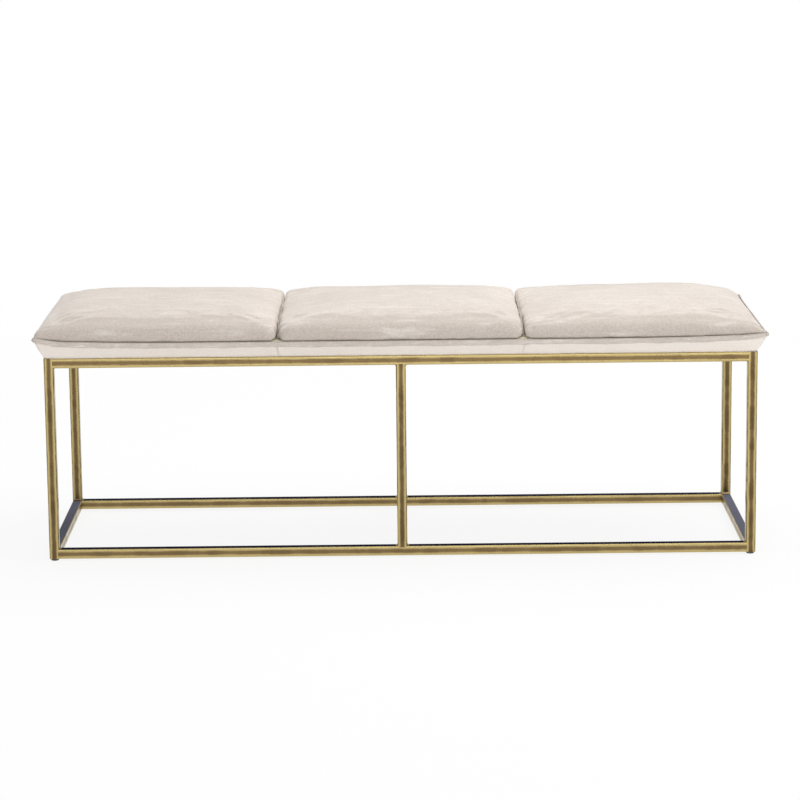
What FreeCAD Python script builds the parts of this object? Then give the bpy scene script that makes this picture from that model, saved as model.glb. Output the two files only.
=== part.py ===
import FreeCAD, Part
import math
import os
import Sketcher

# Upholstered bench, in millimetres. X runs along the bench, the front looks along -Y, Z is up.
# The origin is on the floor, under the middle of the bench.

V = FreeCAD.Vector

# Driving sizes: name, value, what it is
SIZES = [
    ("frame_length", "1372", "frame, outside, left to right"),
    ("frame_depth", "457", "frame, outside, front to rear"),
    ("frame_height", "395", "tube frame, bottom to top"),
    ("tube_width", "19", "square tube, outside"),
    ("tube_wall", "1.5", "square tube, wall"),
    ("tube_corner", "2.5", "square tube, outside corner radius"),
    ("bead_leg", "3.5", "weld bead, along each face"),
    ("cap_thickness", "2", "plate that closes a leg's top"),
    ("insert_height", "16", "threaded plug in a leg's bottom"),
    ("tab_length", "32", "seat tab, along its rail"),
    ("tab_reach", "26", "seat tab, out from its rail"),
    ("tab_thickness", "3", "seat tab, plate"),
    ("tab_corner", "3", "seat tab, corner radius"),
    ("tab_spacing", "600", "seat tabs, middle one to the next along the rail"),
    ("foot_height", "4", "floor to the bottom of the tube, foot screwed home"),
    ("foot_gap", "0.3", "pad's top to the bottom of the tube"),
    ("pad_radius", "7.5", "foot pad"),
    ("pad_round", "1.2", "foot pad, rounding of its lower edge"),
    ("pad_dome", "1.6", "foot pad, rounding of its upper edge"),
    ("pad_floor", "1", "foot pad, under the stud's head"),
    ("head_radius", "4.6", "stud's captured head"),
    ("head_thickness", "1.1", "stud's captured head"),
    ("stud_radius", "3", "M6 stud"),
    ("stud_length", "24", "stud, over its head"),
    ("stud_chamfer", "0.8", "stud's upper end"),
    ("running_clearance", "0.06", "stud in its plug and in its pad, each side"),
    ("cloth_thickness", "1.5", "upholstery cloth"),
    ("dust_thickness", "0.5", "dust cover"),
    ("soft_clearance", "0.3", "between one soft layer and the next"),
    ("board_inset", "5", "seat board's edge, in from the frame's outside"),
    ("board_thickness", "18", "plywood seat board"),
    ("hem_width", "44", "cloth turned in under the board"),
    ("hem_inset", "1.5", "cloth's fold, in from the frame's outside"),
    ("dust_inset", "25", "dust cover's edge, in from the frame's outside"),
    ("screw_radius", "3", "M6 seat screw"),
    ("screw_length", "20", "seat screw, under its head"),
    ("screw_head_radius", "6", "seat screw's pan head"),
    ("screw_head_height", "3.6", "seat screw's pan head"),
    ("washer_radius", "8", "seat washer"),
    ("washer_thickness", "1.4", "seat washer"),
    ("hole_clearance", "0.3", "screw in a drilled hole, each side"),
    ("nut_barrel_radius", "4", "tee nut's barrel"),
    ("nut_barrel_length", "11", "tee nut's barrel, with its flange"),
    ("nut_flange_radius", "9.5", "tee nut's flange"),
    ("nut_flange_thickness", "1.2", "tee nut's flange"),
    ("seat_overhang", "18", "stitch line, out from the frame's outside"),
    ("seam_height", "33", "stitch line, above the frame"),
    ("lip_drop", "8.5", "sewn lip, stitch line to its free edge"),
    ("lip_reach", "5", "sewn lip, free edge out from the stitch line"),
    ("lip_thickness", "2.4", "sewn lip"),
    ("lip_corner", "3", "sewn lip, corner radius"),
    ("crown_height", "84", "top of the seat's crown, above the frame"),
    ("channel_spacing", "472", "one sewn channel to the other"),
    ("tape_thickness", "1.2", "tape in a sewn channel"),
    ("channel_depth", "27", "bottom of a channel, below the crown"),
    ("side_draw", "3", "how far a side of the seat pulls in between its corners"),
    ("channel_swell", "3", "how far a panel's face swells between its seams"),
    ("panel_corner", "12", "top panel's upright corners"),
    ("batting_thickness", "8", "wadding over the foam"),
    ("staple_width", "10", "staple, over its crown"),
    ("staple_leg", "8", "staple, below its crown"),
    ("staple_wire", "0.7", "staple's wire"),
    ("cover_staple_pitch", "52", "staples through the cloth's turned-in edge"),
    ("dust_staple_pitch", "75", "staples through the dust cover"),
    ("staple_edge", "7", "staples, in from a cloth's edge"),
]

doc = FreeCAD.newDocument("UpholsteredBench")
sheet = doc.addObject("Spreadsheet::Sheet", "sizes")
for row, (alias, value, note) in enumerate(SIZES, 1):
    sheet.set(f"A{row}", alias)
    sheet.set(f"B{row}", value)
    sheet.set(f"C{row}", note)
    sheet.setAlias(f"B{row}", alias)
doc.recompute()

nodes = []


def size(alias):
    return float(getattr(sheet, alias))


def keep(item, label):
    item.Label = label
    nodes.append(item)
    return item


# Sketch helpers

def new_body(name):
    return doc.addObject("PartDesign::Body", name)


def sketch_on(body, plane, name):
    sketch = body.newObject("Sketcher::SketchObject", name)
    planes = {feature.Role: feature for feature in body.Origin.OriginFeatures}
    sketch.AttachmentSupport = [(planes[plane], "")]
    sketch.MapMode = "FlatFace"
    return sketch


def bind(sketch, constraint, name, expression):
    index = sketch.addConstraint(constraint)
    sketch.renameConstraint(index, name)
    sketch.setExpression(f"Constraints.{name}", expression)


def value_of(expression):
    probe = {alias: size(alias) for alias, text, note in SIZES}
    for alias in sorted(probe, key=len, reverse=True):
        expression = expression.replace(f"sizes.{alias}", f"({probe[alias]})")
    return FreeCAD.Units.Quantity(expression).Value


def locate(sketch, name, geometry, point, x, y):
    # x and y are expressions; an empty one puts the point on the sketch's own axis
    if x:
        bind(sketch, Sketcher.Constraint("DistanceX", -1, 1, geometry, point, value_of(x)), f"{name}_x", x)
    else:
        sketch.addConstraint(Sketcher.Constraint("PointOnObject", geometry, point, -2))
    if y:
        bind(sketch, Sketcher.Constraint("DistanceY", -1, 1, geometry, point, value_of(y)), f"{name}_y", y)
    else:
        sketch.addConstraint(Sketcher.Constraint("PointOnObject", geometry, point, -1))


def rounded_rectangle(sketch, name, width, height, corner, x="", y=""):
    # an upright rounded rectangle: four arcs joined by four lines, placed by its middle
    wide, tall, radius = value_of(width) / 2, value_of(height) / 2, value_of(corner)
    middle = V(value_of(x) if x else 0, value_of(y) if y else 0, 0)
    signs = [(1, 1), (-1, 1), (-1, -1), (1, -1)]
    centres = [middle + V(sx * (wide - radius), sy * (tall - radius), 0) for sx, sy in signs]
    first = sketch.GeometryCount
    for quarter, centre in enumerate(centres):
        circle = Part.Circle(centre, V(0, 0, 1), radius)
        turn = quarter * math.pi / 2
        sketch.addGeometry(Part.ArcOfCircle(circle, turn, turn + math.pi / 2), False)
    for quarter in range(4):
        arc = sketch.Geometry[first + quarter]
        following = sketch.Geometry[first + (quarter + 1) % 4]
        sketch.addGeometry(Part.LineSegment(arc.EndPoint, following.StartPoint), False)
    for quarter in range(4):
        arc = first + quarter
        line = first + 4 + quarter
        following = first + (quarter + 1) % 4
        sketch.addConstraint(Sketcher.Constraint("Tangent", arc, 2, line, 1))
        sketch.addConstraint(Sketcher.Constraint("Tangent", line, 2, following, 1))
        sketch.addConstraint(Sketcher.Constraint("Vertical" if quarter % 2 else "Horizontal", line))
        if quarter:
            sketch.addConstraint(Sketcher.Constraint("Equal", first, arc))
    bind(sketch, Sketcher.Constraint("Radius", first, radius), f"{name}_corner", corner)
    across = Sketcher.Constraint("DistanceX", first + 1, 3, first, 3, 2 * (wide - radius))
    bind(sketch, across, f"{name}_width", f"{width} - 2 * {corner}")
    up = Sketcher.Constraint("DistanceY", first + 3, 3, first, 3, 2 * (tall - radius))
    bind(sketch, up, f"{name}_height", f"{height} - 2 * {corner}")
    corner_x = f"{x or '0'} + ({width}) / 2 - {corner}"
    corner_y = f"{y or '0'} + ({height}) / 2 - {corner}"
    locate(sketch, name, first, 3, corner_x, corner_y)


def outline(sketch, name, points):
    # a closed run of straight lines; each point is a pair of expressions
    places = [V(value_of(x) if x else 0, value_of(y) if y else 0, 0) for x, y in points]
    first = sketch.GeometryCount
    count = len(points)
    for index, place in enumerate(places):
        sketch.addGeometry(Part.LineSegment(place, places[(index + 1) % count]), False)
    for index in range(count):
        sketch.addConstraint(
            Sketcher.Constraint("Coincident", first + index, 2, first + (index + 1) % count, 1)
        )
    for index, (x, y) in enumerate(points):
        locate(sketch, f"{name}_{index}", first + index, 1, x, y)


def pad(body, sketch, length, both_ways=False):
    feature = body.newObject("PartDesign::Pad", f"{sketch.Name}_pad")
    feature.Profile = sketch
    feature.Midplane = both_ways
    feature.setExpression("Length", length)
    doc.recompute()
    return feature


def cut_through(body, sketch):
    before = body.Shape.Volume
    feature = body.newObject("PartDesign::Pocket", f"{sketch.Name}_pocket")
    feature.Profile = sketch
    feature.Midplane = True
    feature.Type = "ThroughAll"
    doc.recompute()
    if feature.Shape.Volume >= before:
        raise RuntimeError(f"{sketch.Name} cuts nothing")
    return feature


def turned(name, points):
    # a body turned about its own upright axis; points are (radius, height) expressions
    body = new_body(name)
    profile = sketch_on(body, "XZ_Plane", f"{name}_profile")
    outline(profile, "edge", points)
    feature = body.newObject("PartDesign::Revolution", f"{name}_turned")
    feature.Profile = profile
    feature.ReferenceAxis = (profile, ["V_Axis"])
    feature.Angle = 360
    doc.recompute()
    return body


def put(item, x="0", y="0", z="0"):
    item.setExpression("Placement.Base.x", x)
    item.setExpression("Placement.Base.y", y)
    item.setExpression("Placement.Base.z", z)


def block(name, length, width, height, z):
    # a box centred on the bench's middle, with its underside at z
    box = doc.addObject("Part::Box", name)
    box.setExpression("Length", length)
    box.setExpression("Width", width)
    box.setExpression("Height", height)
    put(box, f"-({length}) / 2", f"-({width}) / 2", z)
    return box


def minus(name, base, tool):
    feature = doc.addObject("Part::Cut", name)
    feature.Base = base
    feature.Tool = tool
    return feature


def free_shape(name, shape):
    feature = doc.addObject("Part::Feature", name)
    feature.Shape = shape
    return feature


def copies(label, master, places):
    # identical pieces share one node, as separate solids
    doc.recompute()
    solids = []
    for place in places:
        solid = master.Shape.copy()
        solid.translate(place)
        solids.append(solid)
    keep(free_shape(label, Part.makeCompound(solids)), label)


# Frame: welded square tube

LEG_X = "(sizes.frame_length - sizes.tube_width) / 2"
LEG_Y = "(sizes.frame_depth - sizes.tube_width) / 2"
FRAME_TOP = "(sizes.foot_height + sizes.frame_height)"
LOW_RAIL_Z = "sizes.foot_height + sizes.tube_width / 2"
TOP_RAIL_Z = f"{FRAME_TOP} - sizes.tube_width / 2"
CLEAR_X = "(sizes.frame_length - 2 * sizes.tube_width)"
CLEAR_Y = "(sizes.frame_depth - 2 * sizes.tube_width)"
CLEAR_Z = "(sizes.frame_height - 2 * sizes.tube_width)"
SECTION_PLANE = {"X": "YZ_Plane", "Y": "XZ_Plane", "Z": "XY_Plane"}


def tube(label, run, length):
    # square tube centred on its body's origin
    body = new_body(label)
    section = sketch_on(body, SECTION_PLANE[run], f"{label}_section")
    rounded_rectangle(section, "outside", "sizes.tube_width", "sizes.tube_width", "sizes.tube_corner")
    bore = "(sizes.tube_width - 2 * sizes.tube_wall)"
    rounded_rectangle(section, "inside", bore, bore, "(sizes.tube_corner - sizes.tube_wall)")
    pad(body, section, length, both_ways=True)
    return keep(body, label)


def cope_ends(body, plane, reach, along, offset=""):
    # shape both ends to the rounded tubes that they meet; reach is to those tubes' middles
    sketch = sketch_on(body, plane, f"{body.Name}_cope")
    for name, sign in (("far", ""), ("near", "-")):
        place = f"{sign}({reach})"
        x, y = (place, offset) if along == 0 else (offset, place)
        rounded_rectangle(
            sketch, name, "sizes.tube_width", "sizes.tube_width", "sizes.tube_corner", x, y
        )
    cut_through(body, sketch)


def square_edge(body, plane, inner, outer):
    # both ends stop square along one edge, from inner to outer across the tube, because another
    # tube's end already fills the corner there
    sketch = sketch_on(body, plane, f"{body.Name}_relief")
    start = f"{CLEAR_Y} / 2"
    end = f"{CLEAR_Y} / 2 + 2 * sizes.tube_corner"
    corner_points = [(inner, start), (outer, start), (outer, end), (inner, end)]
    for name, sign in (("far", ""), ("near", "-")):
        points = [(across, f"{sign}({along})") for across, along in corner_points]
        if plane == "YZ_Plane":
            points = [(along, across) for across, along in points]
        outline(sketch, name, points)
    cut_through(body, sketch)


def make_legs():
    for depth, sy in (("front", "-"), ("rear", "")):
        for hand, sx in (("left", "-"), ("right", "")):
            leg = tube(f"leg_{depth}_{hand}", "Z", "sizes.frame_height")
            put(leg, f"{sx}{LEG_X}", f"{sy}{LEG_Y}", "sizes.foot_height + sizes.frame_height / 2")


def make_long_rails():
    reach = f"{CLEAR_X} / 2 + sizes.tube_width / 2"
    for level, z in (("top", TOP_RAIL_Z), ("bottom", LOW_RAIL_Z)):
        for depth, sy in (("front", "-"), ("rear", "")):
            rail = tube(f"{level}_rail_{depth}", "X", f"{CLEAR_X} + 2 * sizes.tube_corner")
            cope_ends(rail, "XY_Plane", reach, 0)
            put(rail, "0", f"{sy}{LEG_Y}", z)


def make_side_rails():
    reach = f"{CLEAR_Y} / 2 + sizes.tube_width / 2"
    for level, z in (("top", TOP_RAIL_Z), ("bottom", LOW_RAIL_Z)):
        for hand, sx, inward in (("left", "-", "1"), ("right", "", "-1")):
            rail = tube(f"{level}_rail_{hand}", "Y", f"{CLEAR_Y} + 2 * sizes.tube_corner")
            cope_ends(rail, "XY_Plane", reach, 1)
            inner = f"{inward} * (sizes.tube_width / 2 - sizes.tube_corner)"
            outer = f"{inward} * (sizes.tube_width / 2 + sizes.tube_corner)"
            square_edge(rail, "XY_Plane", inner, outer)
            put(rail, f"{sx}{LEG_X}", "0", z)


def make_centre_posts():
    reach = f"{CLEAR_Z} / 2 + sizes.tube_width / 2"
    for depth, sy in (("front", "-"), ("rear", "")):
        post = tube(f"centre_post_{depth}", "Z", f"{CLEAR_Z} + 2 * sizes.tube_corner")
        cope_ends(post, "YZ_Plane", reach, 1)
        put(post, "0", f"{sy}{LEG_Y}", "sizes.foot_height + sizes.frame_height / 2")


def make_cross_bar():
    # its top lies under the dust cover, a cloth's thickness below the rails' tops
    bar = tube("seat_cross_bar", "Y", f"{CLEAR_Y} + 2 * sizes.tube_corner")
    reach = f"{CLEAR_Y} / 2 + sizes.tube_width / 2"
    cope_ends(bar, "YZ_Plane", reach, 0, "sizes.dust_thickness")
    above_post = "-(sizes.tube_width / 2 - sizes.dust_thickness - sizes.tube_corner)"
    square_edge(bar, "YZ_Plane", above_post, "-(sizes.tube_width / 2 + sizes.tube_corner)")
    put(bar, "0", "0", f"{TOP_RAIL_Z} - sizes.dust_thickness")


def corners():
    # the middle of each leg, in plan
    x = (size("frame_length") - size("tube_width")) / 2
    y = (size("frame_depth") - size("tube_width")) / 2
    return [(sx * x, sy * y) for sy in (-1, 1) for sx in (-1, 1)]


def make_leg_caps():
    cap = new_body("one_cap")
    plate = sketch_on(cap, "XY_Plane", "cap_outline")
    inside = "(sizes.tube_width - 2 * sizes.tube_wall)"
    rounded_rectangle(plate, "plate", inside, inside, "(sizes.tube_corner - sizes.tube_wall)")
    pad(cap, plate, "sizes.cap_thickness")
    z = size("foot_height") + size("frame_height") - size("cap_thickness")
    copies("leg_caps", cap, [V(x, y, z) for x, y in corners()])


def make_leg_inserts():
    plug = new_body("one_insert")
    section = sketch_on(plug, "XY_Plane", "insert_outline")
    inside = "(sizes.tube_width - 2 * sizes.tube_wall)"
    rounded_rectangle(section, "plug", inside, inside, "(sizes.tube_corner - sizes.tube_wall)")
    section.addGeometry(Part.Circle(V(0, 0, 0), V(0, 0, 1), size("stud_radius")), False)
    bore = section.GeometryCount - 1
    section.addConstraint(Sketcher.Constraint("Coincident", bore, 3, -1, 1))
    radius = Sketcher.Constraint("Radius", bore, size("stud_radius"))
    bind(section, radius, "bore", "sizes.stud_radius + sizes.running_clearance")
    pad(plug, section, "sizes.insert_height")
    copies("leg_inserts", plug, [V(x, y, size("foot_height")) for x, y in corners()])


def bead(corner, along, first, second):
    # a concave weld bead in a corner, centred on a point, running along a direction
    leg = size("bead_leg")
    run = size("tube_width") - 2 * size("tube_corner")
    start = corner - along * (run / 2)
    a = start + first * leg
    b = start + second * leg
    hollow = start + (first + second) * (leg * (1 - math.sqrt(0.5)))
    edges = [Part.makeLine(start, a), Part.Arc(a, hollow, b).toShape(), Part.makeLine(b, start)]
    return Part.Face(Part.Wire(edges)).extrude(along * run)


def make_weld_fillets():
    tube_width = size("tube_width")
    inner_x = size("frame_length") / 2 - tube_width
    inner_y = size("frame_depth") / 2 - tube_width
    low = size("foot_height") + tube_width
    high = size("foot_height") + size("frame_height") - tube_width
    leg_x, leg_y = corners()[3]
    beads = []
    for z, dz in ((low, 1), (high, -1)):
        for sy in (-1, 1):
            for sx in (-1, 1):
                in_x = V(-sx, 0, 0)
                beads.append(bead(V(sx * inner_x, sy * leg_y, z), V(0, 1, 0), in_x, V(0, 0, dz)))
                beads.append(
                    bead(V(sx * tube_width / 2, sy * leg_y, z), V(0, 1, 0), V(sx, 0, 0), V(0, 0, dz))
                )
                in_y = V(0, -sy, 0)
                beads.append(bead(V(sx * leg_x, sy * inner_y, z), V(1, 0, 0), in_y, V(0, 0, dz)))
    bar_z = high + tube_width / 2 - size("dust_thickness")
    for sy in (-1, 1):
        for sx in (-1, 1):
            place = V(sx * tube_width / 2, sy * inner_y, bar_z)
            beads.append(bead(place, V(0, 0, 1), V(sx, 0, 0), V(0, -sy, 0)))
    keep(free_shape("weld_fillets", Part.makeCompound(beads)), "weld_fillets")


def tab_places():
    # centre of each seat tab in plan, and whether its rail runs along X
    y = size("frame_depth") / 2 - size("tube_width") - size("tab_reach") / 2
    x = size("frame_length") / 2 - size("tube_width") - size("tab_reach") / 2
    step = size("tab_spacing")
    offset = size("tube_width") + size("tab_length")
    long_rails = [(dx, sy * y, True) for sy in (-1, 1) for dx in (-step, offset, step)]
    return long_rails + [(sx * x, 0, False) for sx in (-1, 1)]


def tab_top():
    return size("foot_height") + size("frame_height") - size("dust_thickness")


def make_seat_tabs():
    tab = new_body("one_tab")
    plate = sketch_on(tab, "XY_Plane", "tab_outline")
    rounded_rectangle(plate, "plate", "sizes.tab_length", "sizes.tab_reach", "sizes.tab_corner")
    plate.addGeometry(Part.Circle(V(0, 0, 0), V(0, 0, 1), size("screw_radius")), False)
    hole = plate.GeometryCount - 1
    plate.addConstraint(Sketcher.Constraint("Coincident", hole, 3, -1, 1))
    radius = Sketcher.Constraint("Radius", hole, size("screw_radius"))
    bind(plate, radius, "hole", "sizes.screw_radius + sizes.hole_clearance")
    pad(tab, plate, "sizes.tab_thickness")
    solids = []
    for x, y, lengthwise in tab_places():
        solid = tab.Shape.copy()
        if not lengthwise:
            solid.rotate(V(0, 0, 0), V(0, 0, 1), 90)
        solid.translate(V(x, y, tab_top() - size("tab_thickness")))
        solids.append(solid)
    keep(free_shape("seat_tabs", Part.makeCompound(solids)), "seat_tabs")


# Levelling feet

def make_feet():
    pad_height = "(sizes.foot_height - sizes.foot_gap)"
    hole = "(sizes.stud_radius + sizes.running_clearance)"
    recess = "(sizes.head_radius + sizes.running_clearance)"
    recess_low = "(sizes.pad_floor - sizes.running_clearance)"
    recess_high = "(sizes.pad_floor + sizes.head_thickness + sizes.running_clearance)"
    stud_foot = "sizes.pad_floor"
    stud_top = "(sizes.pad_floor + sizes.stud_length)"
    spots = [("front_left", "-", "-"), ("front_right", "", "-"), ("rear_left", "-", ""), ("rear_right", "", "")]
    for spot, sx, sy in spots:
        disc = new_body(f"foot_pad_{spot}")
        round_outline = sketch_on(disc, "XY_Plane", f"pad_outline_{spot}")
        round_outline.addGeometry(Part.Circle(V(0, 0, 0), V(0, 0, 1), size("pad_radius")), False)
        round_outline.addConstraint(Sketcher.Constraint("Coincident", 0, 3, -1, 1))
        radius = Sketcher.Constraint("Radius", 0, size("pad_radius"))
        bind(round_outline, radius, "rim", "sizes.pad_radius")
        base = pad(disc, round_outline, pad_height)
        for edge, rounding in (("top", "sizes.pad_dome"), ("bottom", "sizes.pad_round")):
            height = value_of(pad_height) if edge == "top" else 0
            tip = disc.Shape
            index = next(
                i for i, e in enumerate(tip.Edges, 1)
                if e.Closed and abs(e.BoundBox.ZMin - height) < 0.01 and abs(e.BoundBox.ZMax - height) < 0.01
            )
            fillet = disc.newObject("PartDesign::Fillet", f"pad_{edge}_{spot}")
            fillet.Base = (base, [f"Edge{index}"])
            fillet.setExpression("Radius", rounding)
            doc.recompute()
            base = fillet
        hollow = sketch_on(disc, "XZ_Plane", f"pad_hollow_{spot}")
        outline(hollow, "hollow", [
            ("", recess_low), (recess, recess_low), (recess, recess_high), (hole, recess_high),
            (hole, f"{pad_height} + 1"), ("", f"{pad_height} + 1"),
        ])
        before = disc.Shape.Volume
        groove = disc.newObject("PartDesign::Groove", f"pad_groove_{spot}")
        groove.Profile = hollow
        groove.ReferenceAxis = (hollow, ["V_Axis"])
        groove.Angle = 360
        doc.recompute()
        if groove.Shape.Volume >= before:
            raise RuntimeError("the foot pad's hollow cuts nothing")
        put(keep(disc, f"foot_pad_{spot}"), f"{sx}{LEG_X}", f"{sy}{LEG_Y}")
        stud = turned(f"foot_stud_{spot}", [
            ("", stud_foot), ("sizes.head_radius", stud_foot),
            ("sizes.head_radius", "sizes.pad_floor + sizes.head_thickness"),
            ("sizes.stud_radius", "sizes.pad_floor + sizes.head_thickness"),
            ("sizes.stud_radius", f"{stud_top} - sizes.stud_chamfer"),
            ("(sizes.stud_radius - sizes.stud_chamfer)", stud_top), ("", stud_top),
        ])
        put(keep(stud, f"foot_stud_{spot}"), f"{sx}{LEG_X}", f"{sy}{LEG_Y}")


# Seat board, its fixings and what closes its underside

BOARD_LENGTH = "(sizes.frame_length - 2 * sizes.board_inset)"
BOARD_DEPTH = "(sizes.frame_depth - 2 * sizes.board_inset)"
BOARD_Z = f"({FRAME_TOP} + sizes.cloth_thickness)"
BOARD_TOP = f"({FRAME_TOP} + sizes.cloth_thickness + sizes.board_thickness)"


def columns(name, radius, low, high):
    # upright round cutters at the seat screws' places
    cutters = [Part.makeCylinder(radius, high - low, V(x, y, low)) for x, y, along in tab_places()]
    return free_shape(name, Part.makeCompound(cutters))


def make_seat_board():
    low = value_of(BOARD_Z)
    high = value_of(BOARD_TOP)
    barrel = size("nut_barrel_radius") + size("running_clearance")
    flange = size("nut_flange_radius") + size("running_clearance")
    blank = block("board_blank", BOARD_LENGTH, BOARD_DEPTH, "sizes.board_thickness", BOARD_Z)
    drilled = minus("board_drilled", blank, columns("board_holes", barrel, low - 1, high + 1))
    recess = columns("board_recesses", flange, high - size("nut_flange_thickness"), high + 1)
    keep(minus("seat_board", drilled, recess), "seat_board")


def make_tee_nuts():
    bore = "(sizes.screw_radius + sizes.running_clearance)"
    shoulder = "(sizes.nut_barrel_length - sizes.nut_flange_thickness)"
    nut = turned("one_tee_nut", [
        (bore, ""), ("sizes.nut_barrel_radius", ""), ("sizes.nut_barrel_radius", shoulder),
        ("sizes.nut_flange_radius", shoulder), ("sizes.nut_flange_radius", "sizes.nut_barrel_length"),
        (bore, "sizes.nut_barrel_length"),
    ])
    z = value_of(BOARD_TOP) - size("nut_barrel_length")
    copies("tee_nuts", nut, [V(x, y, z) for x, y, along in tab_places()])


def make_seat_screws():
    washer_top = tab_top() - size("tab_thickness")
    head_top = washer_top - size("washer_thickness")
    hole = "(sizes.screw_radius + sizes.hole_clearance)"
    washer = turned("one_washer", [
        (hole, ""), ("sizes.washer_radius", ""), ("sizes.washer_radius", "sizes.washer_thickness"),
        (hole, "sizes.washer_thickness"),
    ])
    copies("seat_washers", washer, [V(x, y, head_top) for x, y, along in tab_places()])
    end = "(sizes.screw_head_height + sizes.screw_length)"
    screw = turned("one_screw", [
        ("", ""), ("(sizes.screw_head_radius * 0.6)", ""),
        ("sizes.screw_head_radius", "sizes.screw_head_height / 2"),
        ("sizes.screw_head_radius", "sizes.screw_head_height"),
        ("sizes.screw_radius", "sizes.screw_head_height"), ("sizes.screw_radius", end), ("", end),
    ])
    bottom = head_top - size("screw_head_height")
    copies("seat_screws", screw, [V(x, y, bottom) for x, y, along in tab_places()])


def make_cloth_underneath():
    hole = size("screw_radius") + size("hole_clearance")
    top = value_of(FRAME_TOP)
    hem_length = "(sizes.frame_length - 2 * sizes.hem_inset)"
    hem_depth = "(sizes.frame_depth - 2 * sizes.hem_inset)"
    sheet_of_cloth = block("hem_blank", hem_length, hem_depth, "sizes.cloth_thickness", FRAME_TOP)
    opening = block(
        "hem_opening", f"({hem_length} - 2 * sizes.hem_width)", f"({hem_depth} - 2 * sizes.hem_width)",
        "(sizes.cloth_thickness * 3)", f"({FRAME_TOP} - sizes.cloth_thickness)",
    )
    ring = minus("hem_ring", sheet_of_cloth, opening)
    holes = columns("hem_holes", hole, top - 1, top + size("cloth_thickness") + 1)
    keep(minus("cover_hem", ring, holes), "cover_hem")
    dust_blank = block(
        "dust_blank", "(sizes.frame_length - 2 * sizes.dust_inset)",
        "(sizes.frame_depth - 2 * sizes.dust_inset)", "sizes.dust_thickness",
        f"({FRAME_TOP} - sizes.dust_thickness)",
    )
    dust_holes = columns("dust_holes", hole, top - size("dust_thickness") - 1, top + 1)
    keep(minus("dust_cover", dust_blank, dust_holes), "dust_cover")


def staple(x, y, crown_bottom, along_x):
    # a wire staple driven upwards, its crown below
    half = size("staple_width") / 2
    wire = size("staple_wire")
    leg = size("staple_leg")
    shape = [(-half, 0), (half, 0), (half, leg), (half - wire, leg), (half - wire, wire),
             (wire - half, wire), (wire - half, leg), (-half, leg)]
    points = [V(px, -wire / 2, pz) for px, pz in shape]
    solid = Part.Face(Part.makePolygon(points + points[:1])).extrude(V(0, wire, 0))
    if not along_x:
        solid.rotate(V(0, 0, 0), V(0, 0, 1), 90)
    solid.translate(V(x, y, crown_bottom))
    return solid


def staple_row(half_length, half_depth, pitch, crown_bottom):
    # staples all round a rectangle, evenly spaced, kept off the seat tabs and the cross bar
    clear = (max(size("tab_length"), size("tab_reach")) + size("staple_width")) / 2 + 2
    bar_clear = (size("tube_width") + size("staple_width")) / 2 + 2
    taken = [(x, y) for x, y, along in tab_places()]
    solids = []
    for run, other, along_x in ((half_length, half_depth, True), (half_depth, half_length, False)):
        steps = max(2, round(2 * run / pitch))
        for sign in (-1, 1):
            for step in range(steps):
                place = -run + (step + 0.5) * 2 * run / steps
                x, y = (place, sign * other) if along_x else (sign * other, place)
                off_tabs = all(max(abs(x - tx), abs(y - ty)) > clear for tx, ty in taken)
                if off_tabs and abs(x) > bar_clear:
                    solids.append(staple(x, y, crown_bottom, along_x))
    return Part.makeCompound(solids)


def make_staples():
    edge = size("staple_edge")
    top = value_of(FRAME_TOP)
    inner = size("hem_inset") + size("hem_width") - edge
    row = staple_row(size("frame_length") / 2 - inner, size("frame_depth") / 2 - inner,
                     size("cover_staple_pitch"), top)
    keep(free_shape("cover_staples", row), "cover_staples")
    outer = size("dust_inset") + edge
    crown = top - size("dust_thickness") - size("staple_wire")
    row = staple_row(size("frame_length") / 2 - outer, size("frame_depth") / 2 - outer,
                     size("dust_staple_pitch"), crown)
    keep(free_shape("dust_cover_staples", row), "dust_cover_staples")


# Soft seat: plan outlines of arcs, stacked up into lofts

STRAIGHT = -0.1  # the bow of a side that is all but straight


def plan_outline(box, z, corner, swell, low_bow=None, high_bow=None, high_corner=None):
    # a rounded rectangle in plan whose sides bow outwards, or inwards where the bow is below 0:
    # swell bows the front and the rear, low_bow and high_bow the two ends; corner rounds the
    # corners of the low end and, where high_corner isn't given, those of the high end too
    x0, x1, y0, y1 = box
    bow, low_bow, high_bow = [
        STRAIGHT if abs(value) < abs(STRAIGHT) else value
        for value in (swell, swell / 3 if low_bow is None else low_bow,
                      swell / 3 if high_bow is None else high_bow)
    ]
    c = corner
    h = corner if high_corner is None else high_corner
    cut = c * (1 - math.sqrt(0.5))
    high_cut = h * (1 - math.sqrt(0.5))
    mid_x = (x0 + x1 + c - h) / 2
    mid_y = (y0 + y1) / 2
    sides = [
        (V(x0 + c, y0, z), V(mid_x, y0 - bow, z), V(x1 - h, y0, z)),
        (V(x1 - h, y0, z), V(x1 - high_cut, y0 + high_cut, z), V(x1, y0 + h, z)),
        (V(x1, y0 + h, z), V(x1 + high_bow, mid_y, z), V(x1, y1 - h, z)),
        (V(x1, y1 - h, z), V(x1 - high_cut, y1 - high_cut, z), V(x1 - h, y1, z)),
        (V(x1 - h, y1, z), V(mid_x, y1 + bow, z), V(x0 + c, y1, z)),
        (V(x0 + c, y1, z), V(x0 + cut, y1 - cut, z), V(x0, y1 - c, z)),
        (V(x0, y1 - c, z), V(x0 - low_bow, mid_y, z), V(x0, y0 + c, z)),
        (V(x0, y0 + c, z), V(x0 + cut, y0 + cut, z), V(x0 + c, y0, z)),
    ]
    return Part.Wire([Part.Arc(*side).toShape() for side in sides])


PANEL_BASIS = 470  # the narrower side of the panel that PANEL_LEVELS are drawn for

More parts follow.
